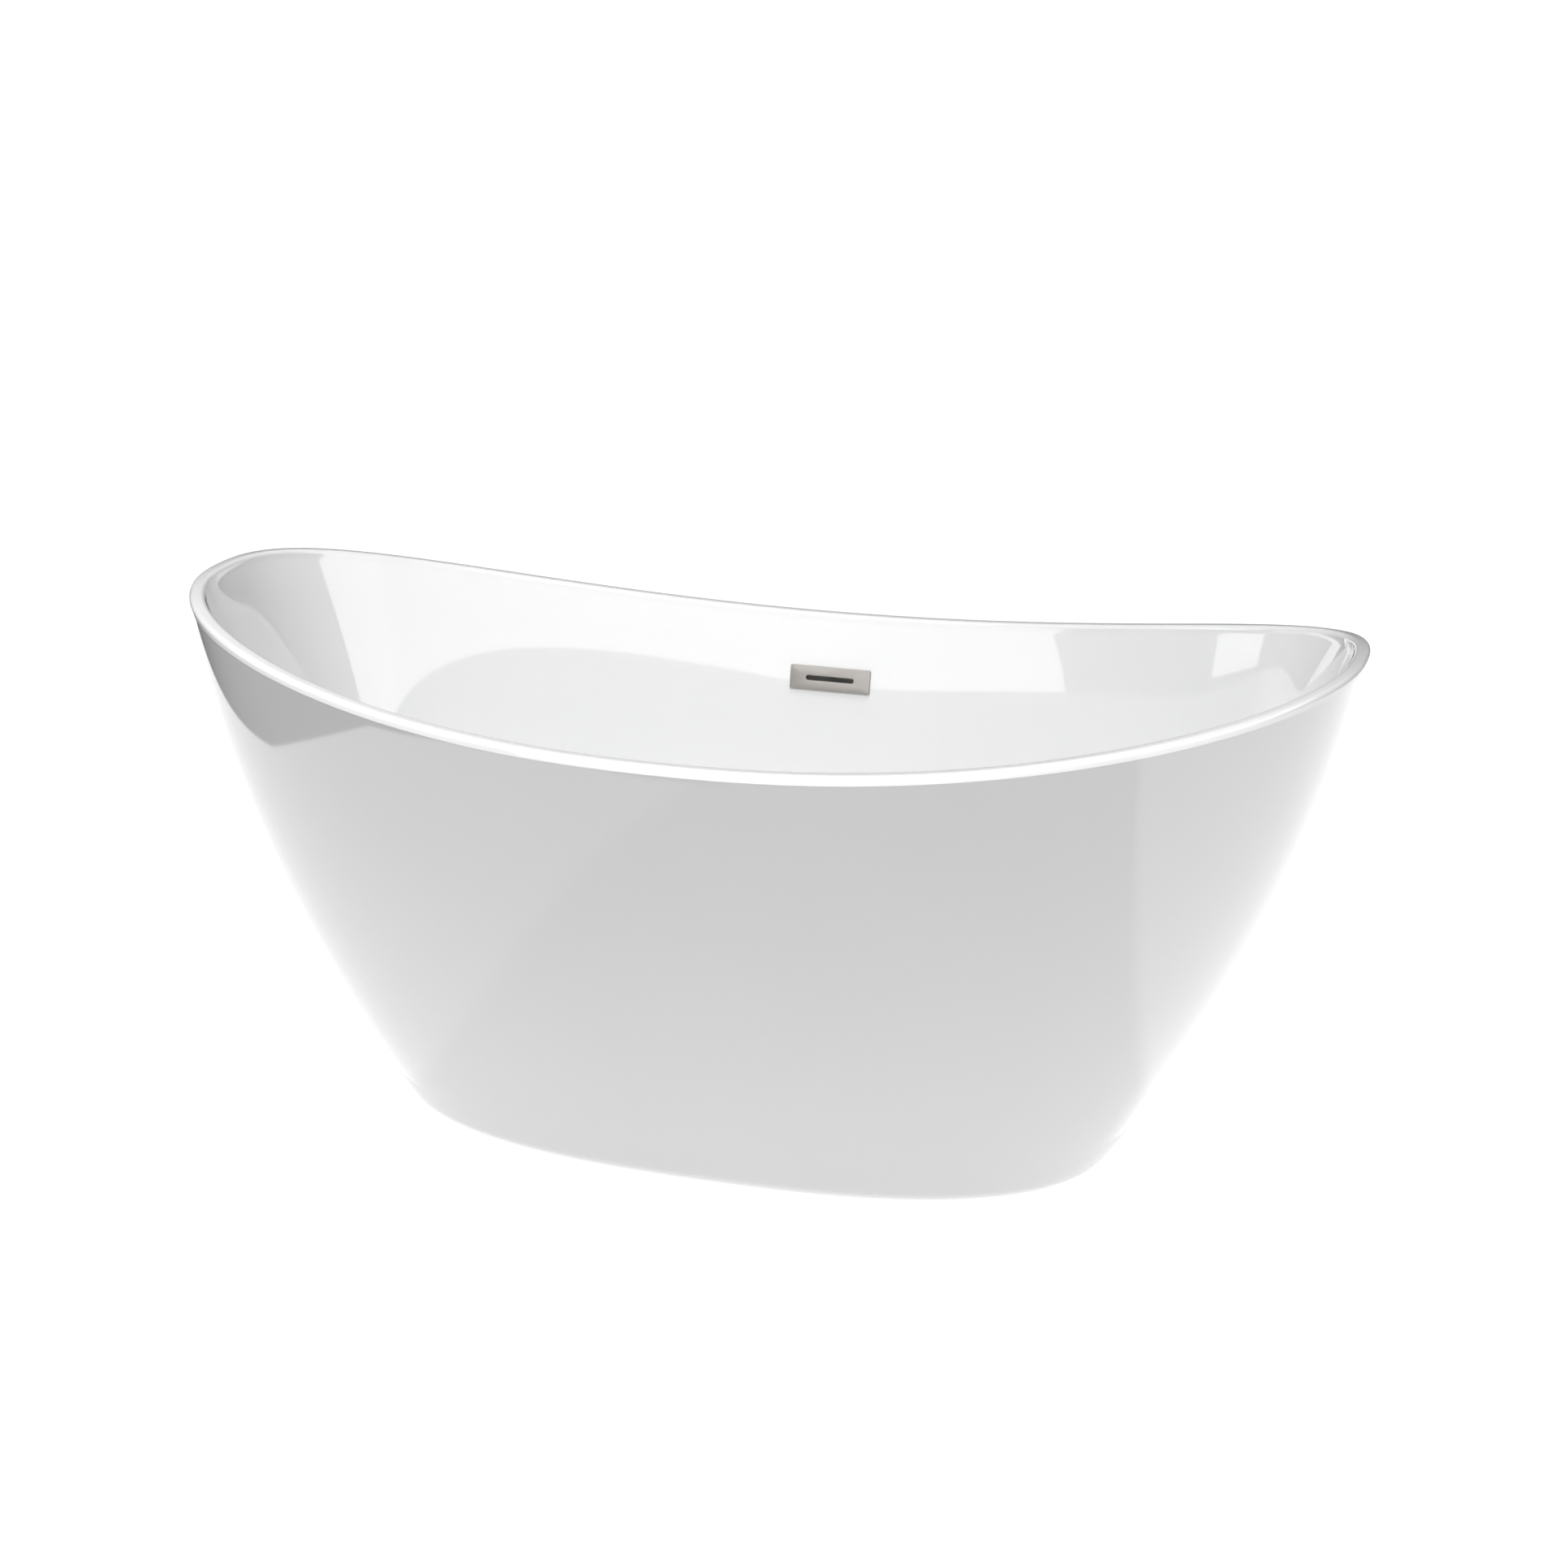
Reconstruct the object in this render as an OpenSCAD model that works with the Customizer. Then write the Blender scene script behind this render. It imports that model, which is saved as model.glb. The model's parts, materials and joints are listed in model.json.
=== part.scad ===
// Freestanding double-slipper bathtub: an acrylic basin inside an acrylic skirt, on a steel
// frame with four levelling feet, with a slotted overflow and a push-to-open waste.
// Millimetres. X runs along the tub, Y across it (the overflow wall is at +Y), Z is up from the floor.

/* [Tub outline] */
// Overall length over the rim
tub_length = 1600; // [1500:10:1800]
// Overall width over the rim
tub_width = 768; // [740:2:820]
// Height of the rim at the two ends
end_height = 726; // [680:2:760]
// Height of the rim at mid length
mid_height = 622; // [600:2:660]
// Length of the skirt where it meets the floor
base_length = 984; // [960:2:1100]
// Width of the skirt where it meets the floor
base_width = 520; // [510:2:560]
// Width of the flat rim
rim_width = 22; // [20:1:26]

/* [Shells] */
// Thickness of the acrylic basin
basin_wall = 5; // [4:0.5:6]
// Thickness of the acrylic skirt
skirt_wall = 4; // [3:0.5:5]
// Gap between the skirt and the floor
skirt_gap = 2; // [1:0.5:4]
// Radius of the turned-under bottom edge
skirt_roll = 20; // [14:1:24]
// Height of the basin floor above the bathroom floor
floor_height = 120; // [118:1:130]
// Length of the flat part of the basin floor
floor_length = 880; // [820:10:920]
// Width of the flat part of the basin floor
floor_width = 370; // [340:5:390]

/* [Overflow] */
// Length of the overflow plate
plate_length = 120; // [100:1:130]
// Height of the overflow plate
plate_height = 35; // [34:1:40]
// Length of the overflow slot
slot_length = 72; // [50:1:74]
// Height of the overflow slot
slot_height = 7; // [6:0.5:8]
// Height of the overflow above the floor
overflow_height = 530; // [524:1:536]

/* [Waste] */
// Diameter of the plug
plug_diameter = 62; // [60:1:64]
// How far the plug rises when it opens
plug_travel = 9; // [6:0.5:10]
// Outer diameter of the tailpiece
tail_diameter = 38.1; // [38.1, 40]

/* [Frame and feet] */
// Distance between the feet along the tub
feet_spacing_x = 620; // [580:10:640]
// Distance between the feet across the tub
feet_spacing_y = 300; // [296:2:310]
// Side of the square steel tube
tube_side = 30; // [25:1:30]
// Diameter of the foot pads
pad_diameter = 50; // [40:1:50]
// Diameter of the threaded studs
stud_diameter = 12; // [10:1:12]

/* [Hidden] */

// Segments around the lofted shells, and rows up them
around = 108;
wall_rows = 15;
floor_rows = 3;
skirt_rows = 13;
roll_rows = 4;
edge_rows = 3;

// Plan outlines are superellipses; a larger power is squarer
rim_power = 2.35;
base_power = 2.5;
floor_power = 2.4;
// How quickly the rim rises towards the ends
rise_power = 2.12;
// Fullness of the skirt between floor and rim, along and across
full_x = 0.64;
full_y = 1.0;
// Shape of the basin wall: its pull along the floor, its lean at the rim, and its pull down from the rim
floor_pull = 0.62;
rim_lean = 17;
rim_pull = 0.45;

rim_edge = 7;
lip_drop = 12;
seam = 0.2;
lip_wall = 4;
floor_fall = 6;
hole_r = 26;
drain_flat_r = 45;
eps = 0.01;

// Drain stack, heights from the bathroom floor
floor_under = floor_height - basin_wall - 1;
seal_t = 2;
flange_t = 2.5;
gasket_t = 3;
nut_t = 9;
flange_r = 35;
tail_r = 23.5;
tail_bore = 20;
tail_bottom = 76;
spoke_z = 98;
spoke_t = 6;
cartridge_r = 9;
cartridge_bottom = 70;
tee_top = 84;
tee_bottom = 32;
tee_r = 26;
port_z = 54;
port_r = 10.5;
port_wall = 2;
port_end = 62;
slip_nut_t = 8;
outlet_bottom = 8;
tail_depth = 12;
// The tailpiece narrows above its outlet, where the slip nut grips it
neck_r = tail_diameter / 2 - 0.75;
fit_gap = 0.05;
touch_gap = 0.3;

// Frame
board_t = 15;
board_top = floor_under;
rail_z = board_top - board_t - tube_side;
bar_z = rail_z - tube_side;
tube_wall = 2;
rail_length = 760;
rail_y = 110;
bar_length = 400;
board_length = 780;
board_width = 280;
board_hole_r = 55;
stud_r = stud_diameter / 2;
nut_flats = 18;
collar_flats = 14;
collar_t = 6;
weld_nut_t = 10;
pad_t = 12;
stud_seat = 5;
stud_top = board_top - board_t + 1;
screw_r = 2.4;
bracket_t = 3;
bracket_w = 30;
bracket_arm = 131;
bracket_x = feet_spacing_x / 2 - 40;
bracket_z = rail_z + 8;
cap_depth = 10;
cap_t = 3;

// Overflow
hole_length = 78;
hole_height = 20;
plate_t = 4;
plate_gap = 0.6;
plate_step = 0.8;
clip_t = 1.2;
clip_w = 8;
clip_depth = 10;
flange_margin = 16;
seal_gap = 0.3;
overflow_seal_t = 2.3;
body_flange_t = 3;
body_depth = 21;
body_back = -basin_wall - seal_gap - overflow_seal_t;
hose_r = 12.8;
hose_bore = 11.2;

// Centre line of the overflow hose, from the overflow down to the tee
HOSE_PATH = [
    [0, 357, 506], [0, 357, 480], [0, 353, 440], [0, 345, 390], [0, 334, 330], [0, 321, 270],
    [0, 306, 220], [0, 289, 170], [0, 272, 130], [0, 249, 94], [0, 220, 70], [0, 186, 58],
    [0, 150, port_z], [0, 115, port_z], [0, 80, port_z], [0, 44, port_z]
];
hose_steps = 3;
hose_sides = 12;

// ---- shell geometry -------------------------------------------------------

function sgn_pow(v, p) = sign(v) * pow(abs(v), p);
// Unit superellipse point at angle a
function unit_oval(a, p) =
    let (r = pow(pow(abs(cos(a)), p) + pow(abs(sin(a)), p), -1 / p))
    [r * cos(a), r * sin(a)];
function oval(a, half_x, half_y, p) =
    let (u = unit_oval(a, p))
    [half_x * u[0], half_y * u[1]];
function unit(v) = v / norm(v);

function rim_z(a) =
    mid_height + (end_height - mid_height) * pow(abs(unit_oval(a, rim_power)[0]), rise_power);
function rim_plan(a) = oval(a, tub_length / 2, tub_width / 2, rim_power);
function base_plan(a) = oval(a, base_length / 2, base_width / 2, base_power);
function floor_plan(a) = oval(a, floor_length / 2, floor_width / 2, floor_power);

// Outward normal of the rim outline in plan
function rim_normal(a) =
    let (u = unit_oval(a, rim_power))
    unit([
        sgn_pow(u[0], rim_power - 1) / tub_length,
        sgn_pow(u[1], rim_power - 1) / tub_width
    ]);
// Point on the rim, set in from its outer edge and down from its top
function rim_point(a, inset, down) =
    let (p = rim_plan(a) - inset * rim_normal(a))
    [p[0], p[1], rim_z(a) - down];

// Skirt outline at height z
function skirt_plan(a, z) =
    let (
        t = z / rim_z(a),
        wx = t + full_x * t * (1 - t),
        wy = t + full_y * t * (1 - t),
        low = base_plan(a),
        high = rim_plan(a)
    )
    [low[0] + (high[0] - low[0]) * wx, low[1] + (high[1] - low[1]) * wy];
function plan_normal(a, z) =
    let (d = skirt_plan(a + 0.5, z) - skirt_plan(a - 0.5, z))
    unit([d[1], -d[0]]);
function skirt_point(a, z, inset) =
    let (p = skirt_plan(a, z) - inset * plan_normal(a, z))
    [p[0], p[1], z];

// Basin wall: a cubic curve from the floor's edge to the inside of the rim
function basin_point(a, s) =
    let (
        f = floor_plan(a),
        top = rim_point(a, rim_width, rim_edge),
        p0 = [f[0], f[1], floor_height + floor_fall],
        d = [top[0] - f[0], top[1] - f[1], 0],
        p1 = p0 + floor_pull * d,
        drop = rim_pull * (top[2] - p0[2]),
        p2 = top - drop * tan(rim_lean) * unit(d) - [0, 0, drop]
    )
    pow(1 - s, 3) * p0 + 3 * pow(1 - s, 2) * s * p1 + 3 * (1 - s) * s * s * p2 + pow(s, 3) * top;
// Normal of the basin wall, pointing away from the water
function basin_normal(a, s) =
    unit(cross(
        basin_point(a + 0.5, s) - basin_point(a - 0.5, s),
        basin_point(a, s + 0.01) - basin_point(a, s - 0.01)
    ));
function basin_outside(a, s, gap = 0) = basin_point(a, s) + (basin_wall + gap) * basin_normal(a, s);
// Basin floor: from the round drain seat out to the floor's edge
function floor_point(a, k, z_in, z_out) =
    let (p = (1 - k) * drain_flat_r * [cos(a), sin(a)] + k * floor_plan(a))
    [p[0], p[1], z_in + (z_out - z_in) * k];

// A closed surface through rings of points, each ring joined to the next and the last to the first
module ring_solid(rings) {
    m = len(rings);
    n = len(rings[0]);
    points = [for (r = rings) each r];
    faces = [
        for (i = [0 : m - 1], j = [0 : n - 1])
        let (
            a = i * n + j,
            b = i * n + (j + 1) % n,
            c = ((i + 1) % m) * n + (j + 1) % n,
            d = ((i + 1) % m) * n + j
        )
        each [[a, b, c], [a, c, d]]
    ];
    polyhedron(points, faces, convexity = 8);
}
// The same for an open run of rings, with its two ends closed
module tube_solid(rings) {
    m = len(rings);
    n = len(rings[0]);
    points = [for (r = rings) each r];
    sides = [
        for (i = [0 : m - 2], j = [0 : n - 1])
        let (a = i * n + j, b = i * n + (j + 1) % n, c = b + n, d = a + n)
        each [[a, b, c], [a, c, d]]
    ];
    ends = [
        [for (j = [n - 1 : -1 : 0]) j],
        [for (j = [0 : n - 1]) (m - 1) * n + j]
    ];
    polyhedron(points, concat(sides, ends), convexity = 8);
}
function turns() = [for (j = [0 : around - 1]) j * 360 / around];

module oblong(length, height, thick) {
    linear_extrude(thick) {
        square([length - height, height], center = true);
        for (x = [-1, 1] * (length - height) / 2)
            translate([x, 0])
                circle(d = height, $fn = 48);
    }
}
module ring(outer, inner, thick) {
    difference() {
        cylinder(r = outer, h = thick, $fn = 96);
        translate([0, 0, -1])
            cylinder(r = inner, h = thick + 2, $fn = 96);
    }
}
module hex_nut(flats, bore, thick) {
    difference() {
        cylinder(d = flats / cos(30), h = thick, $fn = 6);
        translate([0, 0, -1])
            cylinder(r = bore, h = thick + 2, $fn = 64);
    }
}
module rounded_plate(length, width, thick, corner) {
    linear_extrude(thick) {
        square([length - 2 * corner, width], center = true);
        square([length, width - 2 * corner], center = true);
        for (x = [-1, 1] * (length / 2 - corner), y = [-1, 1] * (width / 2 - corner))
            translate([x, y])
                circle(r = corner, $fn = 48);
    }
}

// ---- shells ---------------------------------------------------------------

module basin() {
    inner_rows = concat(
        [[for (j = turns()) [hole_r * cos(j), hole_r * sin(j), floor_height]]],
        [for (k = [0 : floor_rows])
            [for (j = turns())
                floor_point(j, k / floor_rows, floor_height, floor_height + floor_fall)]],
        [for (i = [1 : wall_rows]) [for (j = turns()) basin_point(j, i / wall_rows)]]
    );
    rim_rows = concat(
        [for (i = [1 : edge_rows])
            [for (j = turns())
                rim_point(
                    j,
                    rim_width - rim_edge * (1 - cos(90 * i / edge_rows)),
                    rim_edge * (1 - sin(90 * i / edge_rows))
                )]],
        [for (i = [0 : edge_rows])
            [for (j = turns())
                skirt_point(
                    j,
                    rim_z(j) - rim_edge * (1 - cos(90 * i / edge_rows)),
                    rim_edge * (1 - sin(90 * i / edge_rows))
                )]],
        [[for (j = turns()) skirt_point(j, rim_z(j) - lip_drop, 0)]],
        [[for (j = turns()) skirt_point(j, rim_z(j) - lip_drop, lip_wall)]],
        [[for (j = turns()) rim_point(j, rim_edge, lip_wall + 1)]],
        [[for (j = turns()) rim_point(j, rim_width - basin_wall - 2, lip_wall + 1)]]
    );
    outer_rows = concat(
        [for (i = [wall_rows : -1 : 1]) [for (j = turns()) basin_outside(j, i / wall_rows)]],
        [for (k = [floor_rows : -1 : 0])
            [for (j = turns()) floor_point(j, k / floor_rows, floor_under, floor_under)]],
        [[for (j = turns()) [hole_r * cos(j), hole_r * sin(j), floor_under]]]
    );
    color("white")
        difference() {
            ring_solid(concat(inner_rows, rim_rows, outer_rows));
            at_overflow()
                translate([0, 0, -20])
                    oblong(hole_length, hole_height, 40);
        }
}

module skirt() {
    outer_rows = [
        for (i = [0 : skirt_rows])
        [for (j = turns())
            let (top = rim_z(j) - lip_drop - seam, low = skirt_gap + skirt_roll)
            skirt_point(j, top + (low - top) * i / skirt_rows, 0)]
    ];
    roll_out = [
        for (i = [1 : roll_rows])
        let (q = 90 * i / roll_rows)
        [for (j = turns())
            skirt_point(j, skirt_gap + skirt_roll * (1 - sin(q)), skirt_roll * (1 - cos(q)))]
    ];
    roll_in = [
        for (i = [roll_rows : -1 : 1])
        let (q = 90 * i / roll_rows, r = skirt_roll - skirt_wall)
        [for (j = turns())
            skirt_point(j, skirt_gap + skirt_roll - r * sin(q), skirt_roll - r * cos(q))]
    ];
    inner_rows = [
        for (i = [skirt_rows : -1 : 0])
        [for (j = turns())
            let (top = rim_z(j) - lip_drop - seam, low = skirt_gap + skirt_roll)
            skirt_point(j, top + (low - top) * i / skirt_rows, skirt_wall)]
    ];
    color("white")
        ring_solid(concat(outer_rows, roll_out, roll_in, inner_rows));
}

// Resin that joins the two shells under the rim
module rim_bond() {
    gap = 0.4;
    top = lip_drop + gap;
    color("wheat")
        ring_solid([
            [for (j = turns()) skirt_point(j, rim_z(j) - top, skirt_wall + gap)],
            [for (j = turns()) skirt_point(j, rim_z(j) - top - 14, skirt_wall + gap)],
            [for (j = turns()) basin_outside(j, 0.96, gap)],
            [for (j = turns()) basin_outside(j, 0.995, gap)]
        ]);
}

// ---- frame ----------------------------------------------------------------

module base_board() {
    color("burlywood")
        translate([0, 0, board_top - board_t])
            difference() {
                rounded_plate(board_length, board_width, board_t, 60);
                translate([0, 0, -1])
                    cylinder(r = board_hole_r, h = board_t + 2, $fn = 96);
            }
}

// Square tube along X, open at both ends
module square_tube(length) {
    difference() {
        cube([length, tube_side, tube_side], center = true);
        cube(
            [length + 2, tube_side - 2 * tube_wall, tube_side - 2 * tube_wall],
            center = true
        );
    }
}
module rail(side) {
    color("silver")
        difference() {
            translate([0, side * rail_y, rail_z + tube_side / 2])
                square_tube(rail_length);
            screw_places()
                translate([0, 0, -1])
                    cylinder(r = screw_r + 0.3, h = tube_side + 2, $fn = 32);
        }
}
module rail_front() { rail(-1); }
module rail_rear() { rail(1); }

module cross_bar(side) {
    color("silver")
        difference() {
            translate([side * feet_spacing_x / 2, 0, bar_z + tube_side / 2])
                rotate([0, 0, 90])
                    square_tube(bar_length);
            for (y = [-1, 1] * feet_spacing_y / 2)
                translate([side * feet_spacing_x / 2, y, bar_z - 1])
                    cylinder(r = stud_r + 0.5, h = tube_side + 2, $fn = 64);
        }
}
module cross_bar_left() { cross_bar(-1); }
module cross_bar_right() { cross_bar(1); }

module tube_cap() {
    plug_side = tube_side - 2 * tube_wall;
    translate([0, 0, -cap_depth])
        linear_extrude(cap_depth + eps)
            square(plug_side, center = true);
    linear_extrude(cap_t)
        square(tube_side, center = true);
}
module tube_end_caps() {
    color("dimgray") {
        for (x = [-1, 1], y = [-1, 1] * rail_y)
            translate([x * rail_length / 2, y, rail_z + tube_side / 2])
                rotate([0, x * 90, 0])
                    tube_cap();
        for (x = [-1, 1] * feet_spacing_x / 2, y = [-1, 1])
            translate([x, y * bar_length / 2, bar_z + tube_side / 2])
                rotate([-y * 90, 0, 0])
                    tube_cap();
    }
}

// Hexagon-head screws driven up through the rails into the board
module screw_places() {
    for (x = [-340, -180, 180, 340], y = [-1, 1] * rail_y)
        translate([x, y, rail_z])
            children();
}
module board_screws() {
    color("silver")
        screw_places() {
            translate([0, 0, -3])
                cylinder(r = 5.5, h = 3, $fn = 6);
            translate([0, 0, -eps])
                cylinder(r = screw_r, h = tube_side + board_t - 3, $fn = 32);
        }
}

module bracket(side_x, side_y) {
    mirror_y = side_y > 0 ? 0 : 1;
    translate([side_x * bracket_x, 0, 0])
        mirror([0, mirror_y, 0])
            translate([-bracket_w / 2, 0, 0]) {
                translate([0, rail_y + tube_side / 2, bracket_z])
                    cube([bracket_w, bracket_t, 20]);
                translate([0, rail_y + tube_side / 2, bracket_z])
                    cube([bracket_w, bracket_arm, bracket_t]);
                translate([0, rail_y + tube_side / 2 + bracket_arm - bracket_t, bracket_z])
                    cube([bracket_w, bracket_t, 24]);
            }
}
module skirt_brackets() {
    color("silver")
        for (x = [-1, 1], y = [-1, 1])
            bracket(x, y);
}
module bracket_screws() {
    color("silver")
        for (x = [-1, 1] * bracket_x, y = [-1, 1])
            translate([x, y * (rail_y + tube_side / 2 + bracket_t), bracket_z + 12])
                rotate([-y * 90, 0, 0])
                    cylinder(r = 4, h = 2.5, $fn = 6);
}

module foot_places() {
    for (x = [-1, 1] * feet_spacing_x / 2, y = [-1, 1] * feet_spacing_y / 2)
        translate([x, y, 0])
            children();
}
module foot_weld_nuts() {
    color("silver")
        foot_places()
            translate([0, 0, bar_z + tube_side])
                hex_nut(nut_flats, stud_r + fit_gap, weld_nut_t);
}
module foot_lock_nuts() {
    color("silver")
        foot_places()
            translate([0, 0, bar_z - weld_nut_t])
                hex_nut(nut_flats, stud_r + fit_gap, weld_nut_t);
}

module foot_stud(x, y) {
    color("silver")
        translate([x * feet_spacing_x / 2, y * feet_spacing_y / 2, 0]) {
            translate([0, 0, stud_seat + touch_gap])
                cylinder(r = stud_r, h = stud_top - stud_seat - touch_gap, $fn = 64);
            translate([0, 0, pad_t + touch_gap])
                cylinder(d = collar_flats / cos(30), h = collar_t, $fn = 6);
        }
}
module foot_stud_1() { foot_stud(-1, -1); }
module foot_stud_2() { foot_stud(1, -1); }
module foot_stud_3() { foot_stud(1, 1); }
module foot_stud_4() { foot_stud(-1, 1); }

module foot_pad(x, y) {
    r = pad_diameter / 2;
    socket_r = stud_r + 0.08;
    color("dimgray")
        translate([x * feet_spacing_x / 2, y * feet_spacing_y / 2, 0])
            rotate_extrude($fn = 96)
                polygon([
                    [0, 0], [r - 1, 0], [r, 1], [r, 4], [r - 3, 6],
                    [13, 8], [12, pad_t], [socket_r, pad_t], [socket_r, stud_seat], [0, stud_seat]
                ]);
}
module foot_pad_1() { foot_pad(-1, -1); }
module foot_pad_2() { foot_pad(1, -1); }
module foot_pad_3() { foot_pad(1, 1); }
module foot_pad_4() { foot_pad(-1, 1); }

// ---- overflow -------------------------------------------------------------

// Point of the inner wall where the plate sits, found from the wall's own curve
function wall_s(z, lo = 0, hi = 1, n = 20) =
    n == 0 ? (lo + hi) / 2 :
    let (mid = (lo + hi) / 2)
    basin_point(90, mid)[2] < z ? wall_s(z, mid, hi, n - 1) : wall_s(z, lo, mid, n - 1);
overflow_s = wall_s(overflow_height);
overflow_wall = basin_point(90, overflow_s);
overflow_run = basin_point(90, overflow_s + 0.01) - basin_point(90, overflow_s - 0.01);
wall_lean = atan2(overflow_run[1], overflow_run[2]);

// Local +Z points into the tub, local +Y up the wall
module at_overflow() {
    translate([0, overflow_wall[1], overflow_height])
        rotate([90 - wall_lean, 0, 0])
            children();
}

module overflow_plate() {
    color("gainsboro")
        at_overflow()
            difference() {
                union() {
                    translate([0, 0, plate_gap])
                        rounded_plate(plate_length, plate_height, plate_t - plate_step, 2);
                    translate([0, 0, plate_gap])
                        rounded_plate(
                            plate_length - 2 * plate_step, plate_height - 2 * plate_step, plate_t, 1.2
                        );
                }
                oblong(slot_length, slot_height, plate_t + 2);
                rounded_plate(hole_length + 12, hole_height + 8, plate_gap + 1.6, 3);
            }
}
module overflow_clips() {
    color("silver")
        at_overflow()
            for (x = [-1, 1] * (hole_length / 2 - 2.2))
                translate([x, 0, -clip_depth])
                    linear_extrude(clip_depth + plate_gap + 1.6)
                        square([clip_t, clip_w], center = true);
}
module overflow_gasket() {
    color("dimgray")
        at_overflow()
            translate([0, 0, body_back])
                difference() {
                    rounded_plate(
                        hole_length + flange_margin, hole_height + flange_margin - 2, overflow_seal_t, 6
                    );
                    translate([0, 0, -1])
                        oblong(hole_length, hole_height, overflow_seal_t + 2);
                }
}
module overflow_body() {
    color("whitesmoke")
        difference() {
            union() {
                at_overflow() {
                    translate([0, 0, body_back - body_flange_t])
                        rounded_plate(
                            hole_length + flange_margin, hole_height + flange_margin - 2, body_flange_t, 6
                        );
                    translate([0, 0, body_back - body_depth])
                        rounded_plate(hole_length + 6, hole_height + 6, body_depth, 8);
                }
                translate([0, HOSE_PATH[0][1], HOSE_PATH[0][2] - 18])
                    cylinder(r = port_r, h = 31, $fn = 64);
            }
            at_overflow()
                translate([0, 0, body_back - body_depth + 2])
                    oblong(hole_length, hole_height, body_depth + 10);
            translate([0, HOSE_PATH[0][1], HOSE_PATH[0][2] - 20])
                cylinder(r = port_r - port_wall, h = 34, $fn = 64);
        }
}
module overflow_screws() {
    color("silver")
        at_overflow()
            for (x = [-1, 1] * (hole_length / 2 + 5.5))
                translate([x, 0, body_back - body_flange_t - screw_r])
                    difference() {
                        cylinder(r = screw_r, h = screw_r, $fn = 48);
                        translate([0, 0, -1])
                            cylinder(r = screw_r / 2, h = 2, $fn = 6);
                    }
}

// Points along the hose by a smooth curve through HOSE_PATH
function path_at(i) = HOSE_PATH[max(0, min(len(HOSE_PATH) - 1, i))];
function smooth(i, u) =
    let (a = path_at(i - 1), b = path_at(i), c = path_at(i + 1), d = path_at(i + 2))
    0.5 * (
        2 * b + (c - a) * u + (2 * a - 5 * b + 4 * c - d) * pow(u, 2)
        + (3 * b - a - 3 * c + d) * pow(u, 3)
    );
HOSE_LINE = concat(
    [for (i = [0 : len(HOSE_PATH) - 2], k = [0 : hose_steps - 1]) smooth(i, k / hose_steps)],
    [path_at(len(HOSE_PATH) - 1)]
);
function hose_ring(i, r) =
    let (
        n = len(HOSE_LINE) - 1,
        t = unit(HOSE_LINE[min(n, i + 1)] - HOSE_LINE[max(0, i - 1)]),
        side = [1, 0, 0],
        up = cross(t, side)
    )
    [for (j = [0 : hose_sides - 1])
        let (q = j * 360 / hose_sides)
        HOSE_LINE[i] + r * (cos(q) * side + sin(q) * up)];
module overflow_hose() {
    n = len(HOSE_LINE) - 1;
    color("lightgray")
        ring_solid(concat(
            [for (i = [0 : n]) hose_ring(i, hose_bore)],
            [for (i = [n : -1 : 0]) hose_ring(i, hose_r)]
        ));
}
module hose_clamp() {
    ring(hose_r + 1.3, hose_r + 0.3, 9);
    translate([-4, hose_r + 0.8, 0])
        cube([8, 4, 9]);
}
module hose_clamps() {
    color("silver") {
        translate([0, HOSE_PATH[0][1], HOSE_PATH[0][2] - 13])
            rotate([0, 0, 90])
                hose_clamp();
        translate([0, port_end - 4, port_z])
            rotate([90, 0, 0])
                hose_clamp();
    }
}

// ---- waste ----------------------------------------------------------------

module drain_flange() {
    z = floor_height + seal_t;
    color("gainsboro")
        rotate_extrude($fn = 128)
            polygon([
                [tail_bore, tail_bottom], [tail_r, tail_bottom], [tail_r, z], [flange_r, z],
                [flange_r, z + 1], [flange_r - 2, z + flange_t], [24.5, z + flange_t],
                [23, z + 0.5], [tail_bore, z - 2]
            ]);
}
// Three bars across the flange's bore that hold the plug's cartridge
module drain_crossbar() {
    reach = tail_bore - 0.15;
    color("silver")
        difference() {
            for (q = [0, 60, 120])
                rotate([0, 0, q])
                    translate([-reach, -2, spoke_z])
                        cube([2 * reach, 4, spoke_t]);
            translate([0, 0, spoke_z - 1])
                cylinder(r = cartridge_r + fit_gap, h = spoke_t + 2, $fn = 64);
        }
}
module flange_seal() {
    color("dimgray")
        translate([0, 0, floor_height])
            ring(33, hole_r + 0.2, seal_t);
}
module basin_gasket() {
    color("dimgray")
        translate([0, 0, floor_under - gasket_t])
            ring(38, tail_r + 0.2, gasket_t);
}
module drain_lock_nut() {
    color("whitesmoke")
        translate([0, 0, floor_under - gasket_t - nut_t])
            hex_nut(64, tail_r + fit_gap, nut_t);
}
module waste_tee() {
    color("whitesmoke")
        difference() {
            union() {
                translate([0, 0, tee_bottom])
                    cylinder(r = tee_r, h = tee_top - tee_bottom, $fn = 96);
                translate([0, 0, port_z])
                    rotate([-90, 0, 0])
                        cylinder(r = port_r, h = port_end, $fn = 64);
            }
            translate([0, 0, tail_bottom])
                cylinder(r = tail_r + fit_gap, h = 40, $fn = 96);
            translate([0, 0, tee_bottom - 1])
                cylinder(r = neck_r + fit_gap, h = tail_depth + 1.2, $fn = 96);
            translate([0, 0, tee_bottom])
                cylinder(r = tail_bore - 3, h = 50, $fn = 96);
            translate([0, 0, port_z])
                rotate([-90, 0, 0])
                    cylinder(r = port_r - port_wall, h = port_end + 2, $fn = 64);
        }
}
module tailpiece() {
    r = tail_diameter / 2;
    color("gainsboro")
        difference() {
            union() {
                translate([0, 0, outlet_bottom])
                    cylinder(r = r, h = tee_bottom - slip_nut_t - outlet_bottom, $fn = 96);
                translate([0, 0, tee_bottom - slip_nut_t - eps])
                    cylinder(r = neck_r, h = slip_nut_t + tail_depth, $fn = 96);
            }
            cylinder(r = r - 2, h = tee_top, $fn = 96);
        }
}
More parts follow.
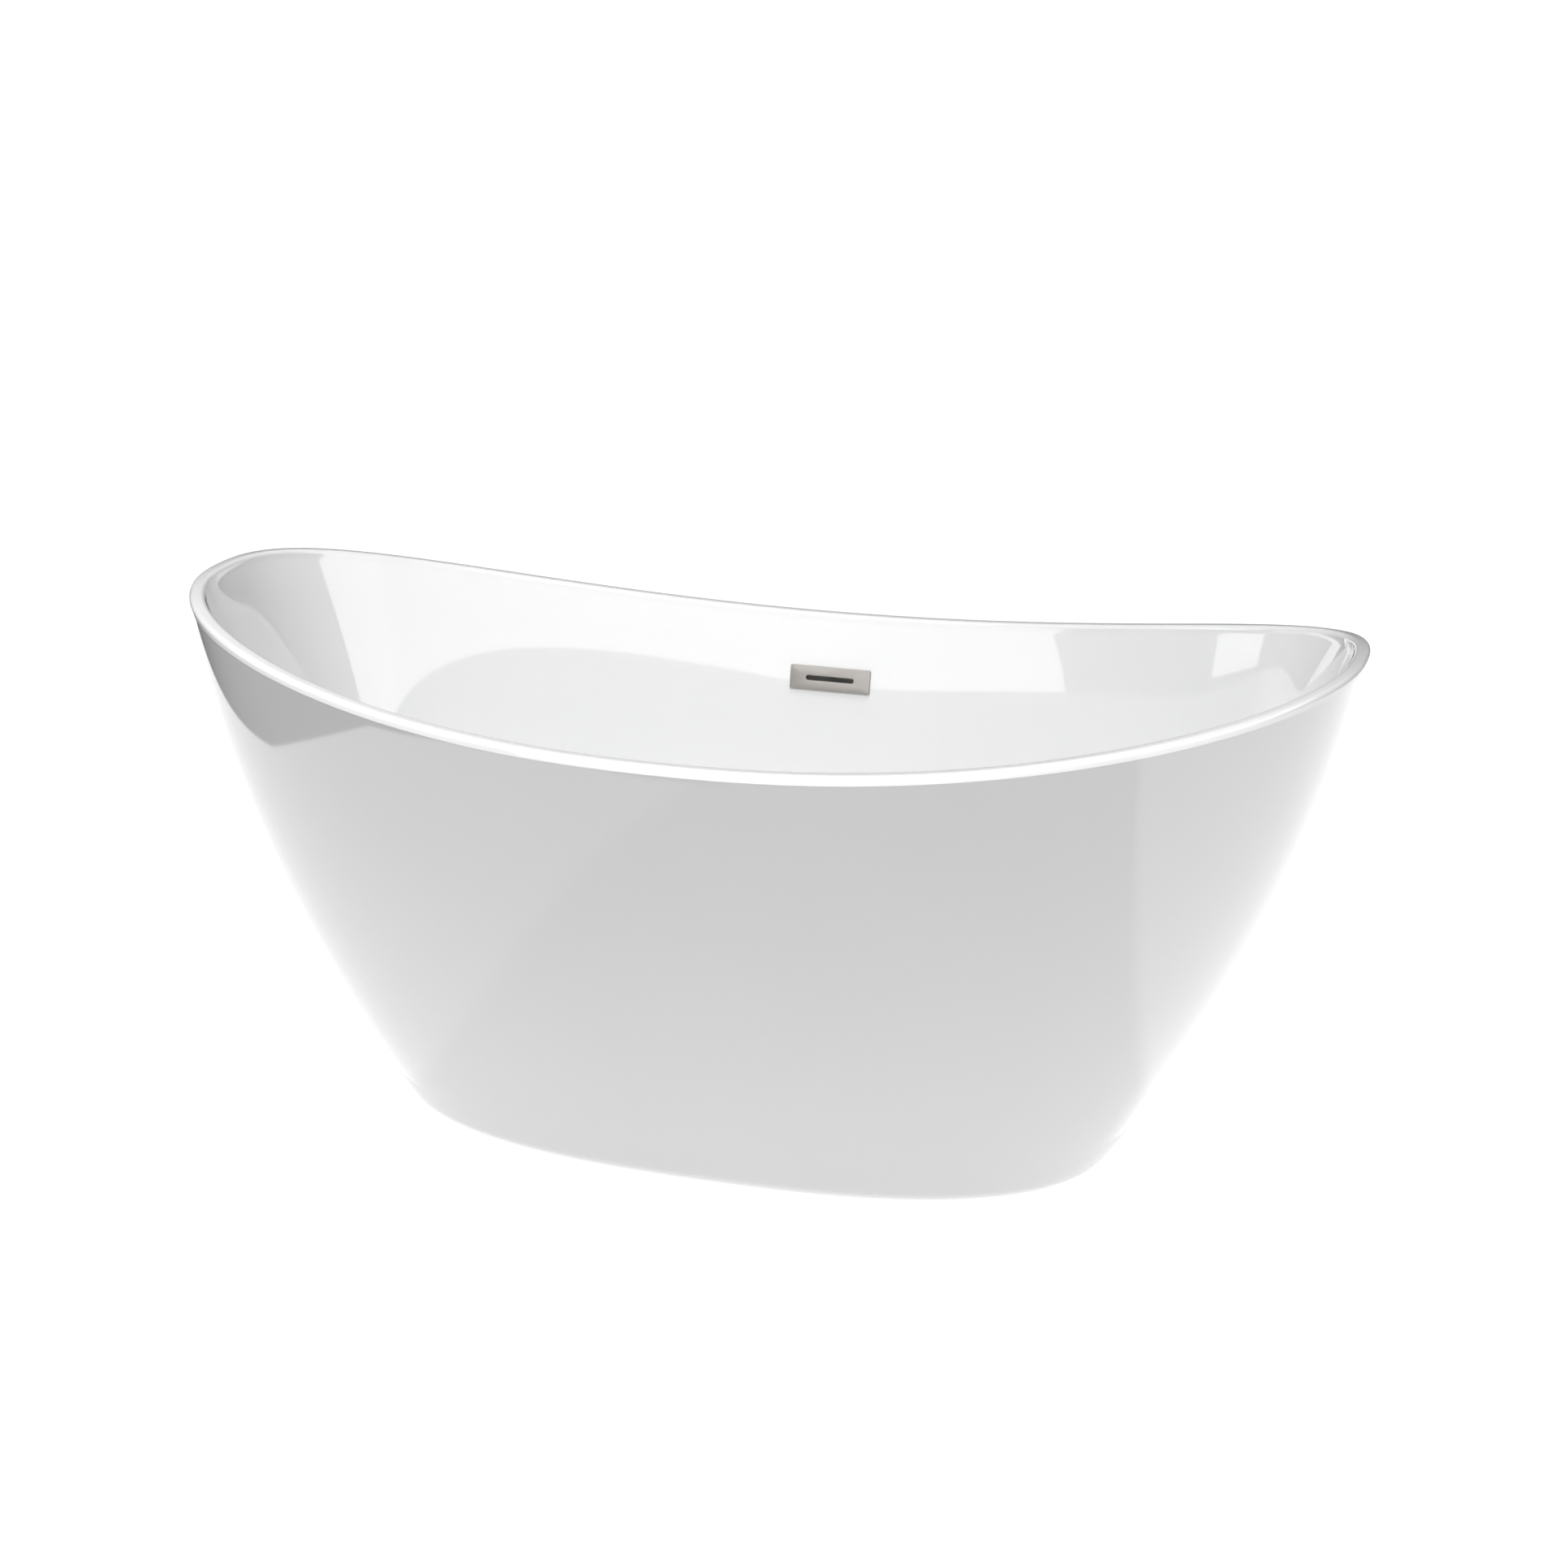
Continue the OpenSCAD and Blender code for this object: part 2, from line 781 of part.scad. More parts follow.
module tailpiece_washer() {
    color("dimgray")
        translate([0, 0, tee_bottom - 2])
            ring(24, neck_r + 0.1, 2);
}
module tailpiece_nut() {
    color("whitesmoke")
        translate([0, 0, tee_bottom - slip_nut_t + 1])
            hex_nut(54, neck_r + 0.15, slip_nut_t - 3);
}

// Plug parts stand closed, with the seal just clear of the flange's seat
plug_z = floor_height + seal_t + flange_t;
stem_r = 4;
stem_bottom = 87;
stem_collar_t = 2;
cavity_r = 7;
cavity_top = stem_bottom + stem_collar_t + plug_travel + 12;
module plug_cap() {
    r = plug_diameter / 2;
    color("gainsboro")
        rotate_extrude($fn = 128)
            polygon([
                [0, plug_z + 2], [r - 1, plug_z + 2], [r, plug_z + 3], [r, plug_z + 4],
                [r - 3, plug_z + 6], [r / 2, plug_z + 7.4], [0, plug_z + 8]
            ]);
}
module plug_seal() {
    color("dimgray")
        translate([0, 0, plug_z + touch_gap])
            ring(28, 6, 2 - touch_gap);
}
module plug_stem() {
    color("goldenrod") {
        translate([0, 0, stem_bottom])
            cylinder(r = stem_r, h = plug_z + 2 - stem_bottom, $fn = 64);
        translate([0, 0, stem_bottom])
            cylinder(r = cavity_r - 0.5, h = stem_collar_t, $fn = 64);
    }
}
module plug_cartridge() {
    color("darkgray")
        difference() {
            union() {
                translate([0, 0, cartridge_bottom])
                    cylinder(r = cartridge_r, h = cavity_top + 4 - cartridge_bottom, $fn = 64);
                translate([0, 0, spoke_z + spoke_t])
                    cylinder(r = 12, h = 4, $fn = 6);
            }
            translate([0, 0, cartridge_bottom + 2])
                cylinder(r = cavity_r, h = cavity_top - cartridge_bottom - 2, $fn = 64);
            translate([0, 0, cavity_top - 2])
                cylinder(r = stem_r + fit_gap, h = 10, $fn = 64);
        }
}

// Coil spring between the cartridge's floor and the stem's collar
spring_r = 5.3;
wire_r = 0.5;
spring_turns = 5;
turn_steps = 16;
wire_sides = 6;
module plug_spring() {
    low = cartridge_bottom + 2 + wire_r + 0.1;
    high = stem_bottom - wire_r - 0.1;
    steps = spring_turns * turn_steps;
    rings = [
        for (i = [0 : steps])
        let (q = i * 360 / turn_steps)
        [for (j = [0 : wire_sides - 1])
            let (
                w = j * 360 / wire_sides,
                r = spring_r + wire_r * cos(w)
            )
            [r * cos(q), r * sin(q), low + (high - low) * i / steps + wire_r * sin(w)]]
    ];
    color("silver")
        tube_solid(rings);
}

basin();
skirt();
rim_bond();
base_board();
rail_front();
rail_rear();
cross_bar_left();
cross_bar_right();
tube_end_caps();
board_screws();
skirt_brackets();
bracket_screws();
foot_weld_nuts();
foot_lock_nuts();
foot_stud_1();
foot_stud_2();
foot_stud_3();
foot_stud_4();
foot_pad_1();
foot_pad_2();
foot_pad_3();
foot_pad_4();
overflow_plate();
overflow_clips();
overflow_gasket();
overflow_body();
overflow_screws();
overflow_hose();
hose_clamps();
drain_flange();
drain_crossbar();
flange_seal();
basin_gasket();
drain_lock_nut();
waste_tee();
tailpiece();
tailpiece_washer();
tailpiece_nut();
plug_cap();
plug_seal();
plug_stem();
plug_cartridge();
plug_spring();
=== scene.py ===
import json
import math
import bmesh
import bpy
import numpy as np
from mathutils import Matrix, Vector


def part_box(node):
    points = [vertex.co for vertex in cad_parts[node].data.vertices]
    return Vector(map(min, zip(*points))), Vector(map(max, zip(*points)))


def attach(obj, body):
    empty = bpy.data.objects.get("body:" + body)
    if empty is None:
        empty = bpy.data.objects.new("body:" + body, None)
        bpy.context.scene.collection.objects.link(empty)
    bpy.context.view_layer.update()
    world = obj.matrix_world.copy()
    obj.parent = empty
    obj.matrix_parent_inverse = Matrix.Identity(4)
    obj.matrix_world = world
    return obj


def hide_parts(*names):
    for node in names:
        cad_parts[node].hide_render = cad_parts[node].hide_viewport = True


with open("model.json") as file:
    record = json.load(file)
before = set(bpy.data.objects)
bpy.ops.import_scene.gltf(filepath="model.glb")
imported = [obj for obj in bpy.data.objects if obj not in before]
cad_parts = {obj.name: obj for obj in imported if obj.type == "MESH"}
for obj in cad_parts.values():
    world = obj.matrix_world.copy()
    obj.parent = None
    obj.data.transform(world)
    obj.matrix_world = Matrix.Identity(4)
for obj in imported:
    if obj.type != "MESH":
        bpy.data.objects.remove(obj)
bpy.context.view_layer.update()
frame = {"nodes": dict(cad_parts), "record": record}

MM = 0.001

# Outline of the tub. The powers say how square each oval is, 2 being an ellipse.
TUB_LENGTH = 1600 * MM
TUB_WIDTH = 768 * MM
END_HEIGHT = 726 * MM
MID_HEIGHT = 622 * MM
BASE_LENGTH = 984 * MM
BASE_WIDTH = 520 * MM
FLOOR_LENGTH = 880 * MM
FLOOR_WIDTH = 370 * MM
RIM_POWER = 2.35
BASE_POWER = 2.5
FLOOR_POWER = 2.4
RISE_POWER = 2.12
FULLNESS = (0.64, 1.0)      # how far the skirt swells outwards, along and across

# Basin wall, rim and skirt edges
FLOOR_PULL = 0.62
RIM_LEAN = math.radians(17)
RIM_PULL = 0.45
RIM_WIDTH = 22 * MM
RIM_EDGE = 7 * MM
RIM_UNDER = 5 * MM          # depth of the rim's underside below its top
RIM_ROOT = 7 * MM           # how far that underside stops short of the rim's inner edge
LIP_DROP = 12 * MM
LIP_WALL = 4 * MM
SEAM = 0.05 * MM
BASIN_WALL = 5 * MM
SKIRT_WALL = 4 * MM
SKIRT_GAP = 2 * MM
SKIRT_ROLL = 20 * MM
FLOOR_HEIGHT = 120 * MM
FLOOR_FALL = 6 * MM
FLOOR_UNDER = 114 * MM
HOLE_R = 26 * MM
DRAIN_FLAT_R = 45 * MM

# Overflow: the plate's length, height and thickness, its slot, and the hole behind it
OVERFLOW_HEIGHT = 530 * MM
PLATE = (120 * MM, 35 * MM, 4 * MM)
PLATE_CORNER = 2 * MM
LEAST_CORNER = 0.2 * MM
PLATE_EDGE = 0.8 * MM
PLATE_GAP = 0.6 * MM
SLOT = (72 * MM, 7 * MM)
SLOT_EDGE = 0.5 * MM
HOLE = (78 * MM, 20 * MM)
CUT_DEPTH = 20 * MM

# Overflow hose: its centre line in millimetres, as in the CAD, and its ribs
HOSE_PATH = [
    (0, 357, 506), (0, 357, 480), (0, 353, 440), (0, 345, 390), (0, 334, 330), (0, 321, 270),
    (0, 306, 220), (0, 289, 170), (0, 272, 130), (0, 249, 94), (0, 220, 70), (0, 186, 58),
    (0, 150, 54), (0, 115, 54), (0, 80, 54), (0, 44, 54),
]
HOSE_R = 12.7 * MM
HOSE_GROOVE = 1.1 * MM
HOSE_PITCH = 4 * MM
HOSE_CUFF = 26 * MM
HOSE_BORE = 11.2 * MM

# Plug cap, in millimetres
CAP_LOW = 126.5
CAP_HIGH = 132.5
CAP_FOOT = (30, 127.5)      # centre of its lower edge's rounding
CAP_FOOT_R = 1
CAP_EDGE = (28.4, 128.7)    # centre of its upper edge's rounding
CAP_EDGE_R = 2.6
CAP_EDGE_END = 82           # degrees that the upper edge turns through
CAP_DOME_R = 28.8
CAP_DOME_RISE = 1.3

# Levelling feet
FEET = (1, 2, 3, 4)
THREAD_PITCH = 1.75 * MM
THREAD_DEPTH = 0.85 * MM
STUD_R = 5.98 * MM
STUD_PLAIN = 15 * MM        # length of the stud below its thread
STUD_FOOT_EDGE = 0.6 * MM
STUD_TOP_EDGE = 0.3 * MM
COLLAR_LIFT = 7 * MM
COLLAR_FLATS = 14 * MM
COLLAR_THICK = 6 * MM

# How finely the pieces are divided
AROUND = 320
WALL_ROWS = 96
FLOOR_ROWS = 18
SKIRT_ROWS = 90
EDGE_ROWS = 8
PLATE_POINTS = 64
PLATE_ROWS = 5
HOSE_SIDES = 28
HOSE_STEPS = 24             # points to each stretch of the hose's path
HOSE_ROWS = 6               # rings to each rib
CAP_SIDES = 128
CAP_FOOT_ROWS = 4
CAP_EDGE_ROWS = 8
CAP_DOME_ROWS = 10
STUD_SIDES = 28
THREAD_ROWS = 8             # rings to each turn of the thread
HEX_SIDES = 48

# Small steps for measuring the surfaces' directions
PLAN_STEP = math.radians(0.5)
WALL_STEP = 0.005
LEAN_STEP = 0.01
HALVINGS = 24

FACE, BACK = 0, 1           # a shell's two materials
MERGE = 1e-6                # points nearer than this are one


# ---- meshes ---------------------------------------------------------------

def put(name, mesh, body, node, *finishes):
    """A finished piece that rides on a body and stands for a CAD node."""
    obj = bpy.data.objects.new(name, mesh)
    bpy.context.scene.collection.objects.link(obj)
    for finish in finishes:
        mesh.materials.append(MATERIALS[finish])
    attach(obj, body)
    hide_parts(node)
    return obj


def smooth(mesh, sharp=35):
    """Smooth faces, with edges sharper than that many degrees kept crisp."""
    mesh.polygons.foreach_set("use_smooth", [True] * len(mesh.polygons))
    mesh.set_sharp_from_angle(angle=math.radians(sharp))
    return mesh


def ring_mesh(name, rings, finish=None, closed=True, capped=False):
    """A surface through rings of points, with a material number for each strip between two.

    Closed joins the last ring to the first, and capped fills both ends.
    """
    rows, count = len(rings), len(rings[0])
    faces = []
    kinds = []
    for i in range(rows if closed else rows - 1):
        low, high = i * count, (i + 1) % rows * count
        for j in range(count):
            k = (j + 1) % count
            faces.append((low + j, low + k, high + k, high + j))
            kinds.append(finish[i] if finish else 0)
    if capped:
        faces.append(tuple(reversed(range(count))))
        faces.append(tuple(range((rows - 1) * count, rows * count)))
        kinds += [0, 0]
    mesh = bpy.data.meshes.new(name)
    mesh.from_pydata(np.concatenate(rings).tolist(), [], faces)
    mesh.polygons.foreach_set("material_index", kinds)
    bm = bmesh.new()
    bm.from_mesh(mesh)
    bmesh.ops.recalc_face_normals(bm, faces=bm.faces)
    bm.to_mesh(mesh)
    bm.free()
    return smooth(mesh)


def lathe(name, outline, sides):
    """A solid turned about the Z axis.

    The outline's radii and heights are in millimetres, and it starts and ends on the axis.
    """
    turn = np.linspace(0, 2 * math.pi, sides, endpoint=False)
    bm = bmesh.new()
    rings = []
    for r, z in outline:
        if r == 0:
            rings.append([bm.verts.new((0, 0, z * MM))] * sides)
        else:
            rings.append([
                bm.verts.new((r * MM * math.cos(q), r * MM * math.sin(q), z * MM)) for q in turn
            ])
    for low, high in zip(rings, rings[1:]):
        for j in range(sides):
            k = (j + 1) % sides
            bm.faces.new(list(dict.fromkeys((low[j], low[k], high[k], high[j]))))
    bmesh.ops.recalc_face_normals(bm, faces=bm.faces)
    mesh = bpy.data.meshes.new(name)
    bm.to_mesh(mesh)
    bm.free()
    return smooth(mesh, 28)


def arc(centre, r, start, end, steps):
    """Points of an outline along an arc, angles in degrees."""
    angles = [math.radians(start + (end - start) * i / steps) for i in range(steps + 1)]
    return [(centre[0] + r * math.cos(q), centre[1] + r * math.sin(q)) for q in angles]


# ---- the shells' shape, as in the CAD ------------------------------------

TURN = np.linspace(0, 2 * math.pi, AROUND, endpoint=False)


def unit(v):
    return v / np.linalg.norm(v, axis=-1, keepdims=True)


def circle(a, r):
    """Points in plan round the Z axis, one for each angle."""
    return r * np.stack([np.cos(a), np.sin(a)], -1)


def unit_oval(a, p):
    r = (np.abs(np.cos(a)) ** p + np.abs(np.sin(a)) ** p) ** (-1 / p)
    return circle(a, r[..., None])


def oval(a, length, width, p):
    return unit_oval(a, p) * (length / 2, width / 2)


def at_height(plan, z):
    return np.concatenate([plan, np.broadcast_to(z, plan.shape[:-1])[..., None]], -1)


def rim_z(a):
    rise = np.abs(unit_oval(a, RIM_POWER)[..., 0]) ** RISE_POWER
    return MID_HEIGHT + (END_HEIGHT - MID_HEIGHT) * rise


def rim_plan(a):
    return oval(a, TUB_LENGTH, TUB_WIDTH, RIM_POWER)


def floor_plan(a):
    return oval(a, FLOOR_LENGTH, FLOOR_WIDTH, FLOOR_POWER)


def rim_normal(a):
    u = unit_oval(a, RIM_POWER)
    return unit(np.sign(u) * np.abs(u) ** (RIM_POWER - 1) / (TUB_LENGTH, TUB_WIDTH))


def rim_point(a, inset, down):
    return at_height(rim_plan(a) - inset * rim_normal(a), rim_z(a) - down)


def skirt_plan(a, z):
    t = (z / rim_z(a))[..., None]
    full = t + np.array(FULLNESS) * t * (1 - t)
    low = oval(a, BASE_LENGTH, BASE_WIDTH, BASE_POWER)
    return low + (rim_plan(a) - low) * full


def skirt_point(a, z, inset):
    z = np.broadcast_to(z, a.shape)
    d = skirt_plan(a + PLAN_STEP, z) - skirt_plan(a - PLAN_STEP, z)
    normal = unit(np.stack([d[..., 1], -d[..., 0]], -1))
    return at_height(skirt_plan(a, z) - inset * normal, z)


def basin_point(a, s):
    """The basin's inner wall, from the floor at s = 0 to the rim at s = 1, as a Bezier curve."""
    top = rim_point(a, RIM_WIDTH, RIM_EDGE)
    foot = at_height(floor_plan(a), FLOOR_HEIGHT + FLOOR_FALL)
    d = (top - foot) * (1, 1, 0)
    drop = (RIM_PULL * (top - foot)[..., 2])[..., None]
    near_foot = foot + FLOOR_PULL * d
    near_top = top - drop * (math.tan(RIM_LEAN) * unit(d) + (0, 0, 1))
    return (
        (1 - s) ** 3 * foot + 3 * (1 - s) ** 2 * s * near_foot
        + 3 * (1 - s) * s ** 2 * near_top + s ** 3 * top
    )


def basin_outside(a, s):
    across = basin_point(a + WALL_STEP, s) - basin_point(a - WALL_STEP, s)
    along = basin_point(a, s + WALL_STEP) - basin_point(a, s - WALL_STEP)
    return basin_point(a, s) + BASIN_WALL * unit(np.cross(across, along))


def floor_ring(k, z):
    return at_height((1 - k) * circle(TURN, DRAIN_FLAT_R) + k * floor_plan(TURN), z)


def hole_ring(z):
    return at_height(circle(TURN, HOLE_R), z)


def quarter(steps, first=0):
    """(1 - cos, 1 - sin) along a quarter turn."""
    angles = [math.pi / 2 * i / steps for i in range(first, steps + 1)]
    return [(1 - math.cos(q), 1 - math.sin(q)) for q in angles]


def overflow_frame():
    """Where the overflow sits on the basin's wall, and the way that it faces."""
    side = np.array(math.pi / 2)
    low, high = 0.0, 1.0
    for _ in range(HALVINGS):
        middle = (low + high) / 2
        if basin_point(side, middle)[2] < OVERFLOW_HEIGHT:
            low = middle
        else:
            high = middle
    run = basin_point(side, low + LEAN_STEP) - basin_point(side, low - LEAN_STEP)
    lean = math.atan2(run[1], run[2])
    place = Matrix.Translation((0, basin_point(side, low)[1], OVERFLOW_HEIGHT))
    return place @ Matrix.Rotation(math.pi / 2 - lean, 4, "X")


OVERFLOW = overflow_frame()


# ---- materials ------------------------------------------------------------

class Nodes:
    """A material's node tree, with short ways to add to it."""

    def __init__(self, name):
        self.material = bpy.data.materials.new(name)
        self.material.use_nodes = True
        self.tree = self.material.node_tree
        self.place = self.tree.nodes.new("ShaderNodeTexCoord").outputs["Object"]

    def link(self, source, socket):
        self.tree.links.new(source, socket)

    def node(self, kind, feeds=(), **settings):
        """A node fed by other sockets. Its settings are values of its inputs or its own options."""
        made = self.tree.nodes.new("ShaderNode" + kind)
        for key, value in settings.items():
            if key in made.inputs:
                made.inputs[key].default_value = value
            else:
                setattr(made, key, value)
        for socket, source in dict(feeds).items():
            self.link(source, made.inputs[socket])
        return made

    def parts(self, vector):
        """The X, Y and Z of a vector."""
        return self.node("SeparateXYZ", {"Vector": vector}).outputs

    def math(self, operation, *values):
        """The result of a Math node on sockets or plain numbers."""
        made = self.node("Math", operation=operation)
        for socket, value in zip(made.inputs, values):
            if isinstance(value, bpy.types.NodeSocket):
                self.link(value, socket)
            else:
                socket.default_value = value
        return made.outputs[0]


class Finish(Nodes):
    """A Principled material fed from procedural textures.

    Textures are scaled by their features to a metre, and stretched along each axis. Bumps are in
    metres, colours are linear, and a ramp's stops are each a position and a grey or a colour.
    """

    # Sockets of a Mix node that carry colour
    COLOUR_A, COLOUR_B, COLOUR_RESULT = 6, 7, 2

    def __init__(self, name, **values):
        super().__init__(name)
        self.shader = self.tree.nodes["Principled BSDF"]
        for socket, value in values.items():
            self.shader.inputs[socket.replace("_", " ")].default_value = value
        self.last_bump = None

    def stretched(self, stretch):
        return self.node("Mapping", {"Vector": self.place}, Scale=stretch).outputs["Vector"]

    def noise(self, scale, detail=4.0, rough=0.55, stretch=(1, 1, 1)):
        place = {"Vector": self.stretched(stretch)}
        made = self.node("TexNoise", place, Scale=scale, Detail=detail, Roughness=rough)
        return made.outputs["Fac"]

    def cells(self, scale, stretch):
        """Cells that each have a colour of their own."""
        made = self.node("TexVoronoi", {"Vector": self.stretched(stretch)}, Scale=scale)
        return made.outputs["Color"]

    def ramp(self, factor, *stops):
        made = self.node("ValToRGB", {"Fac": factor})
        elements = made.color_ramp.elements
        while len(elements) < len(stops):
            elements.new(0.5)
        for element, (position, colour) in zip(elements, stops):
            element.position = position
            element.color = (*colour, 1) if isinstance(colour, tuple) else (colour,) * 3 + (1,)
        return made.outputs["Color"]

    def mix(self, factor, one, two):
        made = self.node("Mix", data_type="RGBA", blend_type="MIX")
        sockets = made.inputs["Factor"], made.inputs[self.COLOUR_A], made.inputs[self.COLOUR_B]
        for socket, source in zip(sockets, (factor, one, two)):
            if isinstance(source, bpy.types.NodeSocket):
                self.link(source, socket)
            else:
                socket.default_value = (*source, 1) if isinstance(source, tuple) else source
        return made.outputs[self.COLOUR_RESULT]

    def colour(self, source):
        self.link(source, self.shader.inputs["Base Color"])

    def roughness(self, factor, low, high):
        span = self.node("MapRange", {"Value": factor}, **{"To Min": low, "To Max": high})
        self.link(span.outputs["Result"], self.shader.inputs["Roughness"])

    def bump(self, height, distance):
        """Bumps add up, each of them as high as distance."""
        made = self.node("Bump", {"Height": height}, Strength=1.0, Distance=distance)
        if self.last_bump:
            self.link(self.last_bump, made.inputs["Normal"])
        self.last_bump = made.outputs["Normal"]
        self.link(self.last_bump, self.shader.inputs["Normal"])


def acrylic():
    """Gloss white sanitary acrylic: an even body colour under a polished, faintly rippled face."""
    f = Finish("acrylic", IOR=1.49, Coat_Weight=1.0, Coat_IOR=1.75, Coat_Roughness=0.015)
    f.colour(f.ramp(
        f.noise(2.5, detail=3),
        (0.35, (0.792, 0.794, 0.797)), (0.65, (0.808, 0.808, 0.806)),
    ))
    f.roughness(f.noise(14, detail=5), 0.05, 0.09)
    f.bump(f.noise(9, detail=2), 0.06 * MM)
    f.bump(f.noise(650, detail=2), 0.002 * MM)
    return f.material


def fibreglass():
    """The rough back of the shells: chopped strands under cream resin."""
    f = Finish("fibreglass_back", Specular_IOR_Level=0.4)
    strands = f.noise(160, detail=6, rough=0.7, stretch=(1, 4, 1))
    crossing = f.noise(160, detail=6, rough=0.7, stretch=(4, 1, 1.5))
    patches = f.noise(9, detail=3)
    cream = f.ramp(patches, (0.3, (0.66, 0.63, 0.52)), (0.7, (0.74, 0.72, 0.63)))
    pale = f.ramp(strands, (0.42, (0.58, 0.56, 0.48)), (0.62, (0.86, 0.85, 0.8)))
    f.colour(f.mix(0.45, cream, pale))
    f.roughness(crossing, 0.35, 0.6)
    f.bump(strands, 0.6 * MM)
    f.bump(crossing, 0.6 * MM)
    return f.material


def brushed_nickel():
    """Warm grey nickel, brushed along the tub, with fine scratches of uneven depth."""
    f = Finish("brushed_nickel", Metallic=1.0, Anisotropic=0.5)
    fine = f.noise(500, detail=4, rough=0.6, stretch=(0.02, 1, 1))
    broad = f.noise(60, detail=3, rough=0.5, stretch=(0.08, 1, 1))
    f.colour(f.mix(
        f.ramp(broad, (0.35, 0.0), (0.65, 1.0)),
        (0.49, 0.465, 0.44), (0.53, 0.505, 0.48),
    ))
    f.roughness(fine, 0.26, 0.42)
    f.bump(fine, 0.02 * MM)
    return f.material


def turned_metal(name, dark, light, low, high):
    """Bright turned or plated metal with faint cloudy tarnish."""
    f = Finish(name, Metallic=1.0)
    clouds = f.noise(60, detail=5, rough=0.6)
    f.colour(f.ramp(clouds, (0.35, dark), (0.65, light)))
    f.roughness(f.noise(180), low, high)
    f.bump(f.noise(900, detail=3, rough=0.6, stretch=(1, 1, 0.2)), 0.008 * MM)
    return f.material


def galvanised():
    """Hot-dipped zinc on steel tube: crystal spangle of several greys, with dull patches."""
    f = Finish("galvanised_steel", Metallic=0.85)
    spangle = f.cells(90, stretch=(1, 1.3, 1))
    grey = f.node("RGBToBW", {"Color": spangle}).outputs["Val"]
    tone = f.ramp(grey, (0.2, (0.42, 0.44, 0.46)), (0.8, (0.63, 0.65, 0.67)))
    stains = f.ramp(f.noise(12, detail=6, rough=0.65), (0.45, 0.0), (0.7, 1.0))
    f.colour(f.mix(stains, tone, (0.50, 0.51, 0.51)))
    f.roughness(grey, 0.32, 0.52)
    f.bump(f.noise(240), 0.03 * MM)
    return f.material


def rubber(name, dark, light, grain):
    """Moulded black rubber with a dusty bloom."""
    f = Finish(name, Specular_IOR_Level=0.35)
    f.colour(f.ramp(f.noise(50, detail=6, rough=0.7), (0.35, dark), (0.7, light)))
    f.roughness(f.noise(200, detail=3), 0.62, 0.85)
    f.bump(f.noise(grain, detail=3), 0.05 * MM)
    return f.material


def moulded(name, dark, light, low=0.3, high=0.42):
    """Injection-moulded plastic: an even colour with a fine spark-eroded grain."""
    f = Finish(name, IOR=1.5)
    f.colour(f.ramp(f.noise(30), (0.3, dark), (0.7, light)))
    f.roughness(f.noise(300, detail=3), low, high)
    f.bump(f.noise(1500, detail=2), 0.01 * MM)
    f.bump(f.noise(70, detail=2), 0.03 * MM)
    return f.material


def plywood():
    """Birch plywood under clear sealer: long grain on the faces, stacked plies on the edges."""
    ply = 3 * MM
    f = Finish("sealed_plywood", Specular_IOR_Level=0.4, Coat_Weight=0.25, Coat_Roughness=0.3)
    grain = f.noise(14, detail=6, rough=0.62, stretch=(0.5, 9, 9))
    pores = f.noise(220, detail=3, rough=0.6, stretch=(0.04, 1, 1))
    wood = f.ramp(
        grain, (0.3, (0.47, 0.32, 0.18)), (0.5, (0.62, 0.45, 0.28)), (0.7, (0.70, 0.54, 0.36))
    )
    face = f.mix(f.ramp(pores, (0.36, 1.0), (0.46, 0.0)), wood, (0.38, 0.25, 0.14))
    through_ply = f.math("DIVIDE", f.math("WRAP", f.parts(f.place)["Z"], ply, 0.0), ply)
    edge = f.ramp(through_ply, (0.44, (0.40, 0.26, 0.14)), (0.56, (0.72, 0.57, 0.38)))
    normal = f.node("NewGeometry").outputs["Normal"]
    flat = f.math("ABSOLUTE", f.parts(normal)["Z"])
    f.colour(f.mix(f.ramp(flat, (0.3, 0.0), (0.7, 1.0)), edge, face))
    f.roughness(grain, 0.38, 0.55)
    f.bump(pores, 0.06 * MM)
    f.bump(grain, 0.08 * MM)
    return f.material


def resin():
    """Cured laminating resin: honey-tinted, glossy, lumpy where it was ladled in."""
    f = Finish("cured_resin", IOR=1.54, Coat_Weight=0.3, Coat_Roughness=0.1)
    f.colour(f.ramp(f.noise(18, detail=5), (0.3, (0.62, 0.54, 0.34)), (0.7, (0.78, 0.73, 0.55))))
    f.roughness(f.noise(40, detail=3), 0.2, 0.4)
    f.bump(f.noise(35, detail=3), 1.2 * MM)
    return f.material


MATERIALS = {
    "acrylic": acrylic(),
    "fibreglass": fibreglass(),
    "resin": resin(),
    "board": plywood(),
    "galvanised": galvanised(),
    "zinc": turned_metal("zinc_plate", (0.60, 0.61, 0.58), (0.72, 0.73, 0.70), 0.24, 0.4),
    "black_plastic": moulded(
        "black_polythene", (0.020, 0.020, 0.021), (0.032, 0.032, 0.033), 0.4, 0.55
    ),
    "rubber": rubber("seal_rubber", (0.012, 0.012, 0.012), (0.035, 0.034, 0.033), 700),
    "rubber_foot": rubber("foot_rubber", (0.022, 0.022, 0.022), (0.055, 0.053, 0.05), 350),
    "brushed_nickel": brushed_nickel(),
    "white_plastic": moulded("white_abs", (0.74, 0.74, 0.71), (0.78, 0.78, 0.76)),
    "grey_plastic": moulded("grey_acetal", (0.10, 0.105, 0.11), (0.14, 0.145, 0.15)),
    "hose": moulded("hose_polythene", (0.52, 0.53, 0.53), (0.60, 0.61, 0.60), 0.28, 0.4),
    "chrome_tube": turned_metal(
        "chrome_plate", (0.74, 0.74, 0.75), (0.80, 0.80, 0.80), 0.05, 0.12
    ),
    "brass": turned_metal("turned_brass", (0.62, 0.42, 0.16), (0.74, 0.54, 0.25), 0.18, 0.32),
}
SLOT_OF = {part["node"]: part["material_slot"] for part in frame["record"]["subparts"]}


